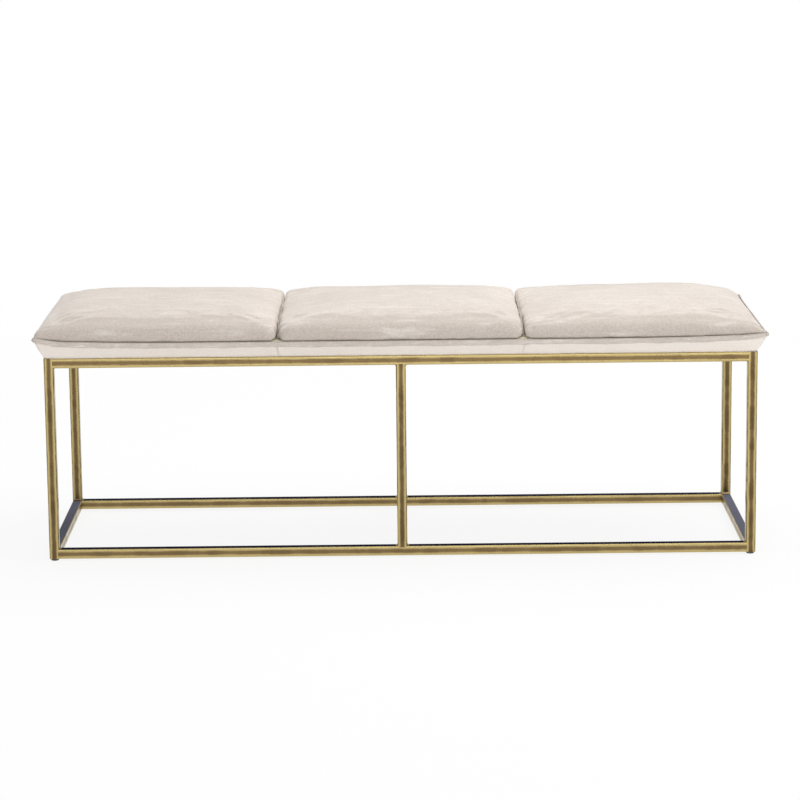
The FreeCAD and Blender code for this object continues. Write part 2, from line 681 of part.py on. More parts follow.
# One row for each level of a top panel, from its stitch line to its crown: height as a share of
# the way up; how far the front and the rear, an outer end and a channel side lie in from the
# stitch line; how much of the panel's swell is there; and how much the corners at an outer end
# and at a channel have grown
PANEL_LEVELS = [
    (-0.08, 0.0, 0.0, 0.0, 0.0, 0.0, 0.0),
    (0.08, -1.0, 0.8, 0.0, 0.4, 3.0, 1.0),
    (0.18, -1.6, 3.6, 0.0, 0.8, 10.0, 6.0),
    (0.29, -1.2, 7.6, 0.0, 1.0, 19.0, 12.0),
    (0.41, 0.3, 12.4, 0.2, 1.0, 29.0, 18.0),
    (0.51, 3.0, 16.6, 2.5, 1.0, 39.0, 22.0),
    (0.59, 6.5, 20.5, 6.5, 1.0, 48.0, 25.0),
    (0.66, 12.0, 25.0, 11.5, 1.0, 57.0, 28.0),
    (0.72, 21.0, 31.0, 18.5, 0.9, 65.0, 32.0),
    (0.78, 38.0, 43.0, 31.0, 0.8, 72.0, 38.0),
    (0.84, 66.0, 69.0, 52.0, 0.7, 72.0, 46.0),
    (0.91, 102.0, 104.0, 80.0, 0.6, 66.0, 50.0),
    (0.965, 142.0, 145.0, 112.0, 0.5, 50.0, 44.0),
    (1.0, 185.0, 185.0, 150.0, 0.3, 26.0, 26.0),
]


def panel_form(low_x, high_x, channel_low, channel_high, depth_in):
    # the closed form of one top panel, drawn in all round by depth_in
    stitch = size("foot_height") + size("frame_height") + size("seam_height")
    rise = size("crown_height") - size("seam_height")
    half_depth = size("frame_depth") / 2 + size("seat_overhang")
    breadth = min(high_x - low_x, 2 * half_depth) / PANEL_BASIS
    wires = []
    for share, side_in, end_in, channel_in, swelling, end_grown, channel_grown in PANEL_LEVELS:
        side_in = side_in * breadth + depth_in
        low_in = (channel_in if channel_low else end_in) * breadth + depth_in
        high_in = (channel_in if channel_high else end_in) * breadth + depth_in
        low_grown = (channel_grown if channel_low else end_grown) * breadth - depth_in
        high_grown = (channel_grown if channel_high else end_grown) * breadth - depth_in
        drop = depth_in if share > 0 else 0
        box = (low_x + low_in, high_x - high_in, side_in - half_depth, half_depth - side_in)
        swell = size("channel_swell") * swelling
        low_corner = max(size("panel_corner") + low_grown, 2)
        high_corner = max(size("panel_corner") + high_grown, 2)
        level = stitch + rise * share - drop * min(share * 1.3, 1)
        low_bow = STRAIGHT if channel_low else swell / 3
        high_bow = STRAIGHT if channel_high else swell / 3
        wires.append(plan_outline(box, level, low_corner, swell, low_bow, high_bow, high_corner))
    return Part.makeLoft(wires, True, True)


def above(shape, z):
    span = shape.BoundBox
    keeper = Part.makeBox(span.XLength + 20, span.YLength + 20, span.ZMax - z + 20,
                          V(span.XMin - 10, span.YMin - 10, z))
    return shape.common(keeper)


def panel_spans():
    # left, centre and right panel: name, low x, high x, whether each side is a channel
    half = size("frame_length") / 2 + size("seat_overhang")
    channel = size("channel_spacing") / 2
    gap = size("tape_thickness") / 2 + size("soft_clearance")
    return [
        ("left", -half, -channel - gap, False, True),
        ("centre", gap - channel, channel - gap, True, True),
        ("right", channel + gap, half, True, False),
    ]


def make_top_panels():
    stitch = size("foot_height") + size("frame_height") + size("seam_height")
    bottom = stitch + size("soft_clearance")
    cloth = size("cloth_thickness")
    gap = size("soft_clearance")
    wadding = cloth + gap + size("batting_thickness")
    for name, low, high, channel_low, channel_high in panel_spans():
        span = (low, high, channel_low, channel_high)
        outside = panel_form(*span, 0)
        under_cover = panel_form(*span, cloth)
        wadding_outside = panel_form(*span, cloth + gap)
        wadding_inside = panel_form(*span, wadding)
        foam_outside = panel_form(*span, wadding + gap)
        cover = above(outside.cut(under_cover), bottom)
        batting = above(wadding_outside.cut(wadding_inside), bottom)
        foam = above(foam_outside, bottom)
        for layer, shape in (("cover", cover), ("batting", batting), ("foam", foam)):
            solid = max(shape.Solids, key=lambda piece: piece.Volume)
            keep(free_shape(f"{layer}_{name}", solid), f"{layer}_{name}")


def ring_outline(out, z, corner, draw):
    half_x = size("frame_length") / 2 + out
    half_y = size("frame_depth") / 2 + out
    return plan_outline((-half_x, half_x, -half_y, half_y), z, corner, -draw)


def make_base_foam():
    low = value_of(BOARD_TOP)
    high = size("foot_height") + size("frame_height") + size("seam_height")
    reach = size("seat_overhang") - size("cloth_thickness") - size("side_draw") - 2 * size("soft_clearance")
    corner = size("panel_corner")
    lower = ring_outline(-size("board_inset"), low, corner, 0)
    upper = ring_outline(reach - 0.5, high, corner, size("side_draw"))
    keep(free_shape("base_foam", Part.makeLoft([lower, upper], True, True)), "base_foam")


def split_zones(gap):
    # eight plan areas round the seat: three along the front, three along the rear, one at each end
    half_x = size("frame_length") / 2 + size("seat_overhang")
    half_y = size("frame_depth") / 2 + size("seat_overhang")
    far = half_y + 200
    channel = size("channel_spacing") / 2
    g = gap / 2
    turn = half_y
    zones = {}
    for name, sy in (("front", -1), ("rear", 1)):
        corner_x = half_x - turn
        zones[f"{name}_centre"] = [(g - channel, 0), (channel - g, 0), (channel - g, sy * far),
                                   (g - channel, sy * far)]
        for hand, sx in (("left", -1), ("right", 1)):
            diagonal = half_x + far - half_y
            zones[f"{name}_{hand}"] = [(sx * (channel + g), 0), (sx * (corner_x - g), 0),
                                       (sx * (diagonal - g), sy * far), (sx * (channel + g), sy * far)]
    for hand, sx in (("left", -1), ("right", 1)):
        corner_x = half_x - turn
        diagonal = half_x + far - half_y
        zones[f"end_{hand}"] = [(sx * (corner_x + g), 0), (sx * (diagonal + g), far),
                                (sx * (diagonal + g), -far)]
    return zones


def zone_prism(points, low, high):
    corners_of_zone = [V(x, y, low) for x, y in points]
    face = Part.Face(Part.makePolygon(corners_of_zone + corners_of_zone[:1]))
    return face.extrude(V(0, 0, high - low))


BAND_SWELL = 0.06  # the band's outward swell, as a share of how far it leans out
BAND_FOOT_CORNER = 4  # the band's corner radius at the frame


def make_bands():
    top = value_of(FRAME_TOP) + size("cloth_thickness")
    stitch = size("foot_height") + size("frame_height") + size("seam_height") - size("soft_clearance")
    cloth = size("cloth_thickness")
    over = size("seat_overhang")
    hem = -size("hem_inset")
    draw = size("side_draw")
    corner = size("panel_corner")
    outer_wires = []
    inner_wires = []
    for share in (0, 0.25, 0.5, 0.75, 1):
        # the strip leans outwards as it rises, and swells a little on the way
        out = hem + (over - hem) * (share + BAND_SWELL * math.sin(math.pi * share))
        level = top + (stitch - top) * share
        round_corner = BAND_FOOT_CORNER + (corner - BAND_FOOT_CORNER) * share
        outer_wires.append(ring_outline(out, level, round_corner, draw * share))
        inner_wires.append(ring_outline(out - cloth * 1.1, level, round_corner - cloth, draw * share))
    outside = Part.makeLoft(outer_wires, True, True)
    inside = Part.makeLoft(inner_wires, True, True)
    ring = outside.cut(inside)
    for name, points in split_zones(size("soft_clearance")).items():
        strip = ring.common(zone_prism(points, top - 5, stitch + 5))
        solid = max(strip.Solids, key=lambda piece: piece.Volume)
        keep(free_shape(f"band_{name}", solid), f"band_{name}")


def make_seam_flange():
    stitch = size("foot_height") + size("frame_height") + size("seam_height")
    free_edge = stitch - size("lip_drop")
    out = size("seat_overhang") + size("soft_clearance")
    reach = out + size("lip_reach")
    thick = size("lip_thickness")
    draw = size("side_draw")
    corner = size("lip_corner")
    outside = Part.makeLoft([
        ring_outline(reach, free_edge, corner, draw), ring_outline(out + thick, stitch, corner + 4, draw),
    ], True, True)
    inside = Part.makeLoft([
        ring_outline(reach - thick, free_edge, corner, draw), ring_outline(out, stitch, corner + 4, draw),
    ], True, True)
    ring = outside.cut(inside)
    strips = []
    for points in split_zones(size("soft_clearance")).values():
        strip = ring.common(zone_prism(points, free_edge - 5, stitch + 5))
        strips.append(max(strip.Solids, key=lambda piece: piece.Volume))
    keep(free_shape("seam_flange", Part.makeCompound(strips)), "seam_flange")


def make_channel_tapes():
    low = size("foot_height") + size("frame_height") + size("seam_height") + size("soft_clearance")
    high = size("foot_height") + size("frame_height") + size("crown_height") - size("channel_depth")
    thick = size("tape_thickness")
    half_depth = size("frame_depth") / 2 + size("seat_overhang") - 2 * size("panel_corner")
    tapes = []
    for sign in (-1, 1):
        x = sign * size("channel_spacing") / 2
        tapes.append(Part.makeBox(thick, 2 * half_depth, high - low, V(x - thick / 2, -half_depth, low)))
    keep(free_shape("channel_tapes", Part.makeCompound(tapes)), "channel_tapes")


make_legs()
make_long_rails()
make_side_rails()
make_centre_posts()
make_cross_bar()
make_leg_caps()
make_leg_inserts()
make_weld_fillets()
make_seat_tabs()
make_feet()
make_seat_board()
make_tee_nuts()
make_seat_screws()
make_cloth_underneath()
make_staples()
make_base_foam()
make_top_panels()
make_bands()
make_seam_flange()
make_channel_tapes()
doc.recompute()

for item in doc.Objects:
    if "Invalid" in item.State or "Error" in item.State:
        raise RuntimeError(f"{item.Label} failed: {item.State}")

os.makedirs("parts", exist_ok=True)
for item in nodes:
    shape = item.Shape
    if shape.isNull() or not shape.isValid():
        raise RuntimeError(f"{item.Label} has no valid shape")
    shape.exportStep(f"parts/{item.Label}.step")
    print(f"{item.Label}: {len(shape.Solids)} solid(s), {shape.Volume / 1000:.2f} cm3")
print(len(nodes), "nodes")
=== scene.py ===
import math

import bpy
from mathutils import Matrix, Vector, noise


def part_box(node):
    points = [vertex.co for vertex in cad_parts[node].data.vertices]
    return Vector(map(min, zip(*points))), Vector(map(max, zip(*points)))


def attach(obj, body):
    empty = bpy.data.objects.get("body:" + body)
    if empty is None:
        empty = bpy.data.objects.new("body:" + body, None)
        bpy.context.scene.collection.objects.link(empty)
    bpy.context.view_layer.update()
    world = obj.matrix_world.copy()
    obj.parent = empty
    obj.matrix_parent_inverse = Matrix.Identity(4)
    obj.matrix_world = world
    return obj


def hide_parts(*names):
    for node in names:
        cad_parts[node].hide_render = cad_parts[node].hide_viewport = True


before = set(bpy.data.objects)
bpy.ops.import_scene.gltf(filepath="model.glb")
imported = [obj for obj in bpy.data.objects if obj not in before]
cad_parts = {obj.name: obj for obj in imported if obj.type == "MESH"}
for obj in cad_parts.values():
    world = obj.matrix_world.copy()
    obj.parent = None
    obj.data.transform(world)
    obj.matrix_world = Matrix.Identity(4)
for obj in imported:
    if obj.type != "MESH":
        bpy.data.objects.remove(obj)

for leftover in ("Cube", "Camera", "Light"):  # what Blender's own start-up file brings
    if leftover in bpy.data.objects:
        bpy.data.objects.remove(bpy.data.objects[leftover])
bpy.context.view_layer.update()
scene = bpy.context.scene
spots = ("front_left", "front_right", "rear_left", "rear_right")


# ---- camera and light

view = {
    "place": (-0.008, -5.925, 1.384),
    "pitch": 10.66,
    "yaw": 0.06,
    "roll": -0.58,
    "lens": 135.5,
    "sensor": 36.0,
}

light = {
    "overheadSize": (5.0, 3.2),
    "overheadPlace": (0.8, 0.5, 3.0),
    "overheadPower": 90.0,
    "frontSize": (4.0, 2.0),
    "frontPlace": (0.5, -4.5, 1.0),
    "frontPower": 46.0,
    "room": 0.62,
    "floorColour": (0.95, 0.95, 0.95),
    "floorWhite": 0.88,
    "fadeFrom": 1.4,
    "fadeTo": 3.2,
    "overheadAim": (0, 0.1, 0.4),
    "frontAim": (0, 0, 0.3),
    "floorCorners": ((-20, -12, 0), (20, -12, 0), (20, 30, 0), (-20, 30, 0)),
}


def aimCamera():
    pitch, yaw, roll = (math.radians(view[name]) for name in ("pitch", "yaw", "roll"))
    ahead = Vector((math.sin(yaw) * math.cos(pitch), math.cos(yaw) * math.cos(pitch), -math.sin(pitch)))
    level = ahead.cross(Vector((0, 0, 1))).normalized()
    upright = level.cross(ahead)
    right = level * math.cos(roll) + upright * math.sin(roll)
    up = upright * math.cos(roll) - level * math.sin(roll)
    camera = bpy.data.objects.new("camera", bpy.data.cameras.new("camera"))
    camera.data.lens = view["lens"]
    camera.data.sensor_width = view["sensor"]
    camera.data.clip_end = 60
    turn = Matrix((right, up, -ahead)).transposed()
    camera.matrix_world = Matrix.Translation(view["place"]) @ turn.to_4x4()
    scene.collection.objects.link(camera)
    scene.camera = camera


def addLamp(name, size, place, power, target):
    lamp = bpy.data.lights.new(name, "AREA")
    lamp.shape = "RECTANGLE"
    lamp.size, lamp.size_y = size
    lamp.energy = power
    holder = bpy.data.objects.new(name, lamp)
    holder.location = place
    holder.rotation_euler = (Vector(target) - Vector(place)).to_track_quat("-Z", "Y").to_euler()
    scene.collection.objects.link(holder)


def addNode(tree, kind, inputs=None, **settings):
    # each input gets a plain value or another node's output; a colour may leave out its alpha
    node = tree.nodes.new(kind)
    for name, value in settings.items():
        setattr(node, name, value)
    for name, value in (inputs or {}).items():
        socket = node.inputs[name]
        if isinstance(value, bpy.types.NodeSocket):
            tree.links.new(value, socket)
        elif socket.type == "RGBA":
            socket.default_value = (*value[:3], 1)
        else:
            socket.default_value = value
    return node


def calculate(tree, operation, first, second=0.0, third=0.0):
    return addNode(tree, "ShaderNodeMath", {0: first, 1: second, 2: third}, operation=operation).outputs[0]


def seenDirectly(tree):
    # 1 for what the camera sees straight on, in a mirror or through glass
    rays = addNode(tree, "ShaderNodeLightPath").outputs
    direct = calculate(tree, "MAXIMUM", rays["Is Camera Ray"], rays["Is Glossy Ray"])
    return calculate(tree, "MAXIMUM", direct, rays["Is Transmission Ray"])


def buildStudio():
    scene.view_settings.view_transform = "Standard"
    world = bpy.data.worlds.new("studio")
    scene.world = world
    world.use_nodes = True
    tree = world.node_tree
    tree.nodes.clear()
    room = addNode(tree, "ShaderNodeBackground", {"Strength": light["room"]})
    backdrop = addNode(tree, "ShaderNodeBackground", {"Color": (1, 1, 1)})
    rays = addNode(tree, "ShaderNodeLightPath").outputs
    blend = addNode(tree, "ShaderNodeMixShader", {
        0: rays["Is Camera Ray"], 1: room.outputs[0], 2: backdrop.outputs[0]})
    addNode(tree, "ShaderNodeOutputWorld", {"Surface": blend.outputs[0]})

    mesh = bpy.data.meshes.new("floor")
    mesh.from_pydata(light["floorCorners"], [], [(0, 1, 2, 3)])
    floor = bpy.data.objects.new("floor", mesh)
    scene.collection.objects.link(floor)
    material = bpy.data.materials.new("paleFloor")
    material.use_nodes = True
    tree = material.node_tree
    tree.nodes.clear()
    matt = addNode(tree, "ShaderNodeBsdfDiffuse", {"Color": light["floorColour"]})
    white = addNode(tree, "ShaderNodeEmission")
    place = addNode(tree, "ShaderNodeTexCoord").outputs["Object"]
    away = addNode(tree, "ShaderNodeVectorMath", {0: place}, operation="LENGTH").outputs["Value"]
    fade = addNode(tree, "ShaderNodeMapRange", {
        "Value": away, "From Min": light["fadeFrom"], "From Max": light["fadeTo"], "To Min": light["floorWhite"]},
        interpolation_type="SMOOTHSTEP")
    share = calculate(tree, "MULTIPLY", seenDirectly(tree), fade.outputs[0])
    blend = addNode(tree, "ShaderNodeMixShader", {0: share, 1: matt.outputs[0], 2: white.outputs[0]})
    addNode(tree, "ShaderNodeOutputMaterial", {"Surface": blend.outputs[0]})
    mesh.materials.append(material)

    for name in ("overhead", "front"):
        addLamp(name, *(light[name + word] for word in ("Size", "Place", "Power", "Aim")))


aimCamera()
buildStudio()
print("studio ready")


# ---- shared shader groups

def spreadOut(tree, value, low, high, full=1.0):
    # 0 at low, rising smoothly to full at high
    inputs = {"Value": value, "From Min": low, "From Max": high, "To Max": full}
    return addNode(tree, "ShaderNodeMapRange", inputs, interpolation_type="SMOOTHSTEP").outputs[0]


def newGroup(name, **defaults):
    # every group has a Vector, these inputs and one result
    group = bpy.data.node_groups.new(name, "ShaderNodeTree")
    group.interface.new_socket(name="Vector", in_out="INPUT", socket_type="NodeSocketVector")
    for label, value in defaults.items():
        kind = "NodeSocketVector" if isinstance(value, tuple) else "NodeSocketFloat"
        group.interface.new_socket(name=label, in_out="INPUT", socket_type=kind).default_value = value
    group.interface.new_socket(name="Result", in_out="OUTPUT", socket_type="NodeSocketFloat")
    return group, addNode(group, "NodeGroupInput").outputs


def closeGroup(group, result):
    addNode(group, "NodeGroupOutput", {"Result": result})
    return group


def drawOut(tree, place, stretch):
    return addNode(tree, "ShaderNodeVectorMath", {0: place, 1: stretch}, operation="MULTIPLY").outputs[0]


def buildMottle():
    # soft patches, 0 to 1, the size of a hand or smaller
    group, given = newGroup("mottle", Scale=5.0, Low=0.35, High=0.65)
    cloud = addNode(group, "ShaderNodeTexNoise", {
        "Vector": given["Vector"], "Scale": given["Scale"], "Detail": 4, "Roughness": 0.55, "Distortion": 0.6})
    return closeGroup(group, spreadOut(group, cloud.outputs[0], given["Low"], given["High"]))


def buildStreaks():
    # fine marks drawn out along one direction by the Stretch
    group, given = newGroup("streaks", Stretch=(8, 60, 60), Low=0.5, High=0.75)
    drawn = drawOut(group, given["Vector"], given["Stretch"])
    marks = addNode(group, "ShaderNodeTexNoise", {"Vector": drawn, "Scale": 1, "Detail": 3, "Distortion": 0.25})
    return closeGroup(group, spreadOut(group, marks.outputs[0], given["Low"], given["High"]))


def buildPile():
    # the nap of a short pile and the rows of its ground cloth, as a height
    group, given = newGroup("pile", Tufts=900.0, Rows=(60, 700, 700))
    tufts = addNode(group, "ShaderNodeTexNoise", {
        "Vector": given["Vector"], "Scale": given["Tufts"], "Detail": 2})
    drawn = drawOut(group, given["Vector"], given["Rows"])
    rows = addNode(group, "ShaderNodeTexNoise", {"Vector": drawn, "Scale": 1})
    both = addNode(group, "ShaderNodeMix", {0: 0.55, 2: tufts.outputs[0], 3: rows.outputs[0]}, data_type="FLOAT")
    return closeGroup(group, both.outputs[0])


mottle = buildMottle()
streaks = buildStreaks()
pile = buildPile()


def useGroup(tree, group, vector, **values):
    return addNode(tree, "ShaderNodeGroup", {"Vector": vector, **values}, node_tree=group).outputs[0]


def mixColours(tree, share, first, second):
    return addNode(tree, "ShaderNodeMix", {0: share, 6: first, 7: second}, data_type="RGBA").outputs[2]


def workIn(tree, tone, mask, share, other):
    # the other colour, worked into the tone where the mask is high
    return mixColours(tree, calculate(tree, "MULTIPLY", mask, share), tone, other)


def startMaterial(name, roughness, metallic=0.0):
    material = bpy.data.materials.new(name)
    material.use_nodes = True
    tree = material.node_tree
    surface = tree.nodes["Principled BSDF"]
    surface.inputs["Roughness"].default_value = roughness
    surface.inputs["Metallic"].default_value = metallic
    place = addNode(tree, "ShaderNodeTexCoord").outputs["Object"]
    return material, tree, surface, place


def coverSurface(tree, surface, tone, height, depth):
    bump = addNode(tree, "ShaderNodeBump", {"Height": height, "Strength": 1.0, "Distance": depth})
    tree.links.new(bump.outputs[0], surface.inputs["Normal"])
    tree.links.new(tone, surface.inputs["Base Color"])


# ---- velvet, plywood, cloths and small metals

velvet = {
    "light": (0.86, 0.78, 0.71),
    "shade": (0.61, 0.535, 0.475),
    # painted shade: tone for the pads' front- and rear-facing sides and the band's top under the lip
    "paintedShadeTone": (0.47, 0.41, 0.36),
    # partly real crushing of the pile, partly painted sheen highlight: colour of the light streaks and crush
    # marks
    "sheenMark": (0.93, 0.875, 0.81),
    "grain": (0.33, 0.285, 0.245),
    # painted shade: the lip's tones are a darker copy of the cover's, like its shaded front
    "lipShadedLight": (0.70, 0.63, 0.57),
    "lipShadedDark": (0.50, 0.44, 0.39),
    # painted light: the band's tones are a lighter copy of the cover's
    "bandLitTone": (0.97, 0.90, 0.83),
    "bandLitShade": (0.88, 0.80, 0.725),
    "patchScale": 9.0,
    "patchShare": 0.40,
    "cloudScale": 38.0,
    "cloudShare": 0.22,
    "crushScale": 170.0,
    "crushSheenShare": 0.16,
    "fineStretch": (45, 330, 330),
    "fineShare": 0.34,
    "grainStretch": (300, 480, 480),
    "sheenLineShare": 0.42,
    # how the painted shade comes in: its ragged edge and its ramp
    "paintedShadeRagged": 0.35,
    "paintedShadeFrom": 0.15,
    "paintedShadeFull": 0.85,
    "paintedShadeShare": 0.60,
    "roughness": 0.85,
    "sheen": 0.35,
    "sheenRoughness": 0.45,
    "sheenTint": (1.0, 0.97, 0.93, 1),
    "gloss": 0.15,
    "pileDepth": 0.0004,
}


def makeVelvet(name, light, shade, sheenMark, stretch, grainShare, paintsShade):
    material, tree, surface, place = startMaterial(name, velvet["roughness"])
    patches = useGroup(tree, mottle, place, Scale=velvet["patchScale"], Low=0.3, High=0.7)
    clouds = useGroup(tree, mottle, place, Scale=velvet["cloudScale"], Low=0.35, High=0.75)
    # partly real crushed pile, partly painted sheen highlights: crush marks and light streaks in the mark colour
    crushSheen = useGroup(tree, mottle, place, Scale=velvet["crushScale"], Low=0.3, High=0.7)
    sheenLines = useGroup(tree, streaks, place, Stretch=stretch, Low=0.56, High=0.74)
    fine = useGroup(tree, streaks, place, Stretch=velvet["fineStretch"], Low=0.3, High=0.7)
    grain = useGroup(tree, streaks, place, Stretch=velvet["grainStretch"], Low=0.38, High=0.62)
    tone = workIn(tree, light, patches, velvet["patchShare"], shade)
    if paintsShade:  # painted shade: darker where the mesh's shade attribute is high, on the pads' front- and rear-facing sides and at the band's top under the lip
        shadeWeight = addNode(tree, "ShaderNodeAttribute", attribute_name="nap").outputs["Fac"]
        ragged = calculate(tree, "ADD", shadeWeight, calculate(tree, "MULTIPLY", clouds, velvet["paintedShadeRagged"]))
        shadeAmount = spreadOut(tree, ragged, velvet["paintedShadeFrom"], velvet["paintedShadeFull"], velvet["paintedShadeShare"])
        tone = mixColours(tree, shadeAmount, tone, velvet["paintedShadeTone"])
    tone = workIn(tree, tone, clouds, velvet["cloudShare"], shade)
    tone = workIn(tree, tone, crushSheen, velvet["crushSheenShare"], sheenMark)
    tone = workIn(tree, tone, fine, velvet["fineShare"], shade)
    tone = workIn(tree, tone, grain, grainShare, velvet["grain"])
    tone = workIn(tree, tone, sheenLines, velvet["sheenLineShare"], sheenMark)
    surface.inputs["Sheen Weight"].default_value = velvet["sheen"]
    surface.inputs["Sheen Roughness"].default_value = velvet["sheenRoughness"]
    surface.inputs["Sheen Tint"].default_value = velvet["sheenTint"]
    surface.inputs["Specular IOR Level"].default_value = velvet["gloss"]
    coverSurface(tree, surface, tone, useGroup(tree, pile, place), velvet["pileDepth"])
    return material


brass = {
    # partly real wear, partly painted highlight: bright brass towards each face's edges
    "wornHighlight": (0.52, 0.41, 0.18),
    "mid": (0.31, 0.225, 0.10),
    # patina, also painted dark reflection in the middles of the tubes' faces
    "patinaDarkReflection": (0.165, 0.108, 0.052),
    # patina darkened further on the uprights as painted shade
    "uprightPatinaShade": (0.105, 0.068, 0.032),
    # painted shade on the uprights' edges; the rails' edge colour below is a painted highlight
    "edge": (0.12, 0.085, 0.035),
    "railEdgeHighlight": (0.60, 0.49, 0.22),
    # painted shade and dark reflection of the seat above, for the lower rails' top faces
    "topShadeLong": (0.020, 0.020, 0.042),
    "topShadeEnds": (0.17, 0.175, 0.225),
    "topShadeFade": 0.0004,
    "halfTube": 0.0095,
    "wornHighlightFrom": 0.22,  # shares of half a face, from its middle to its edge
    "wornHighlightFull": 0.62,
    "edgeFrom": 0.74,
    "edgeFull": 0.92,
    "uneven": 0.12,
    "blotchShare": 0.3,
    "smallShare": 0.6,
    "brushedShare": 0.18,
    "speckShare": 0.18,
    "roughness": 0.27,
    "polished": -0.07,
    "dulled": 0.12,
    "brushedDepth": 0.00006,
}


def acrossFace(tree, place, centre, along):
    # 0 down the middle of each of the tube's faces, 1 at its edges
    mirrored = addNode(tree, "ShaderNodeVectorMath", {0: place}, operation="ABSOLUTE").outputs[0]
    shifted = addNode(tree, "ShaderNodeVectorMath", {0: mirrored, 1: centre}, operation="SUBTRACT").outputs[0]
    folded = addNode(tree, "ShaderNodeVectorMath", {0: shifted}, operation="ABSOLUTE").outputs[0]
    apart = addNode(tree, "ShaderNodeSeparateXYZ", {0: folded})
    first, second = [apart.outputs[axis] for axis in range(3) if axis != along]
    return calculate(tree, "DIVIDE", calculate(tree, "MINIMUM", first, second), brass["halfTube"])


def makeBrass(name, centre=None, along=0, topShadeAbove=None, topShade=None):
    # centre is the tube's axis, mirrored over both planes; along is the axis that the tube runs on
    material, tree, surface, place = startMaterial(name, brass["roughness"], 1.0)
    drawn = [700.0, 700.0, 700.0]
    drawn[along] = 14.0
    brushed = useGroup(tree, streaks, place, Stretch=tuple(drawn), Low=0.25, High=0.75)
    blotches = useGroup(tree, mottle, place, Scale=26.0, Low=0.3, High=0.75)
    specks = useGroup(tree, mottle, place, Scale=210.0, Low=0.45, High=0.8)
    # partly the worn antique finish, partly painted reflection: each face dark in its middle and bright towards
    # its edges
    if centre:
        upright = along == 2
        # painted shade: the uprights take the darker patina
        patinaDarkReflection = brass["uprightPatinaShade"] if upright else brass["patinaDarkReflection"]
        tone = workIn(tree, patinaDarkReflection, blotches, brass["blotchShare"], brass["mid"])
        wavering = calculate(tree, "MULTIPLY_ADD", blotches, brass["uneven"], -brass["uneven"] / 2)
        reach = calculate(tree, "ADD", acrossFace(tree, place, centre, along), wavering)
        wornHighlight = spreadOut(tree, reach, brass["wornHighlightFrom"], brass["wornHighlightFull"])
        tone = mixColours(tree, wornHighlight, tone, brass["wornHighlight"])
        # painted shade on the uprights' edges, painted highlight on the rails' edges
        edge = brass["edge"] if upright else brass["railEdgeHighlight"]
        tone = mixColours(tree, spreadOut(tree, reach, brass["edgeFrom"], brass["edgeFull"]), tone, edge)
    else:
        tone = workIn(tree, brass["mid"], blotches, brass["smallShare"], brass["patinaDarkReflection"])
    tone = workIn(tree, tone, brushed, brass["brushedShare"], brass["mid"])
    tone = workIn(tree, tone, specks, brass["speckShare"], brass["patinaDarkReflection"])
    if topShade:  # painted shade and dark reflection of the seat above, on the lower rails' top faces, which are made non-metallic
        height = addNode(tree, "ShaderNodeSeparateXYZ", {0: place}).outputs[2]
        topFace = spreadOut(tree, height, topShadeAbove, topShadeAbove + brass["topShadeFade"])
        tone = mixColours(tree, topFace, tone, topShade)
        tree.links.new(calculate(tree, "SUBTRACT", 1.0, topFace), surface.inputs["Metallic"])
        surface.inputs["Specular IOR Level"].default_value = 0.0
    rough = addNode(tree, "ShaderNodeMapRange", {
        "Value": blotches, "To Min": brass["roughness"] + brass["polished"],
        "To Max": brass["roughness"] + brass["dulled"]})
    tree.links.new(rough.outputs[0], surface.inputs["Roughness"])
    coverSurface(tree, surface, tone, brushed, brass["brushedDepth"])
    return material


def makePlain(name, base, other, scale, roughness, metallic=0.0, depth=0.0001, stretch=None):
    # one tone worked through with another, for the small and hidden pieces
    material, tree, surface, place = startMaterial(name, roughness, metallic)
    patches = useGroup(tree, mottle, place, Scale=scale, Low=0.3, High=0.7)
    tone = mixColours(tree, patches, base, other)
    if stretch:
        grain = useGroup(tree, streaks, place, Stretch=stretch, Low=0.3, High=0.7)
        tone = workIn(tree, tone, grain, 0.5, other)
    else:
        grain = useGroup(tree, pile, place, Tufts=scale * 30, Rows=(scale * 20,) * 3)
    coverSurface(tree, surface, tone, grain, depth)
    return material


def makePlywood():
    # birch faces with the plies showing at the edges
    material, tree, surface, place = startMaterial("birchPly", 0.62)
    plies = addNode(tree, "ShaderNodeTexWave", {"Vector": place, "Scale": 55, "Distortion": 0.4},
                    wave_type="BANDS", bands_direction="Z")
    grain = useGroup(tree, streaks, place, Stretch=(5, 190, 190), Low=0.3, High=0.72)
    tone = mixColours(tree, grain, (0.60, 0.43, 0.25), (0.45, 0.29, 0.15))
    tone = workIn(tree, tone, plies.outputs["Fac"], 0.35, (0.32, 0.19, 0.09))
    coverSurface(tree, surface, tone, grain, 0.0002)
    return material


# name, its light, shade and mark colours (the mark a painted sheen highlight), the marks' stretch, the grain's
# share, and whether it gets painted shade
coverVelvet = makeVelvet("ivoryVelvet", velvet["light"], velvet["shade"], velvet["sheenMark"],
                         (9, 55, 55), 0.30, True)
# painted light: the band is the same cloth in a lighter copy, with painted shadow at its top
bandVelvet = makeVelvet("bandVelvet", velvet["bandLitTone"], velvet["bandLitShade"], velvet["sheenMark"],
                        (14, 14, 90), 0.07, True)
# painted shade: the lip is the same cloth in a darker copy
lipVelvet = makeVelvet("lipVelvet", velvet["lipShadedLight"], velvet["lipShadedDark"], velvet["sheenMark"],
                       (30, 30, 260), 0.16, False)
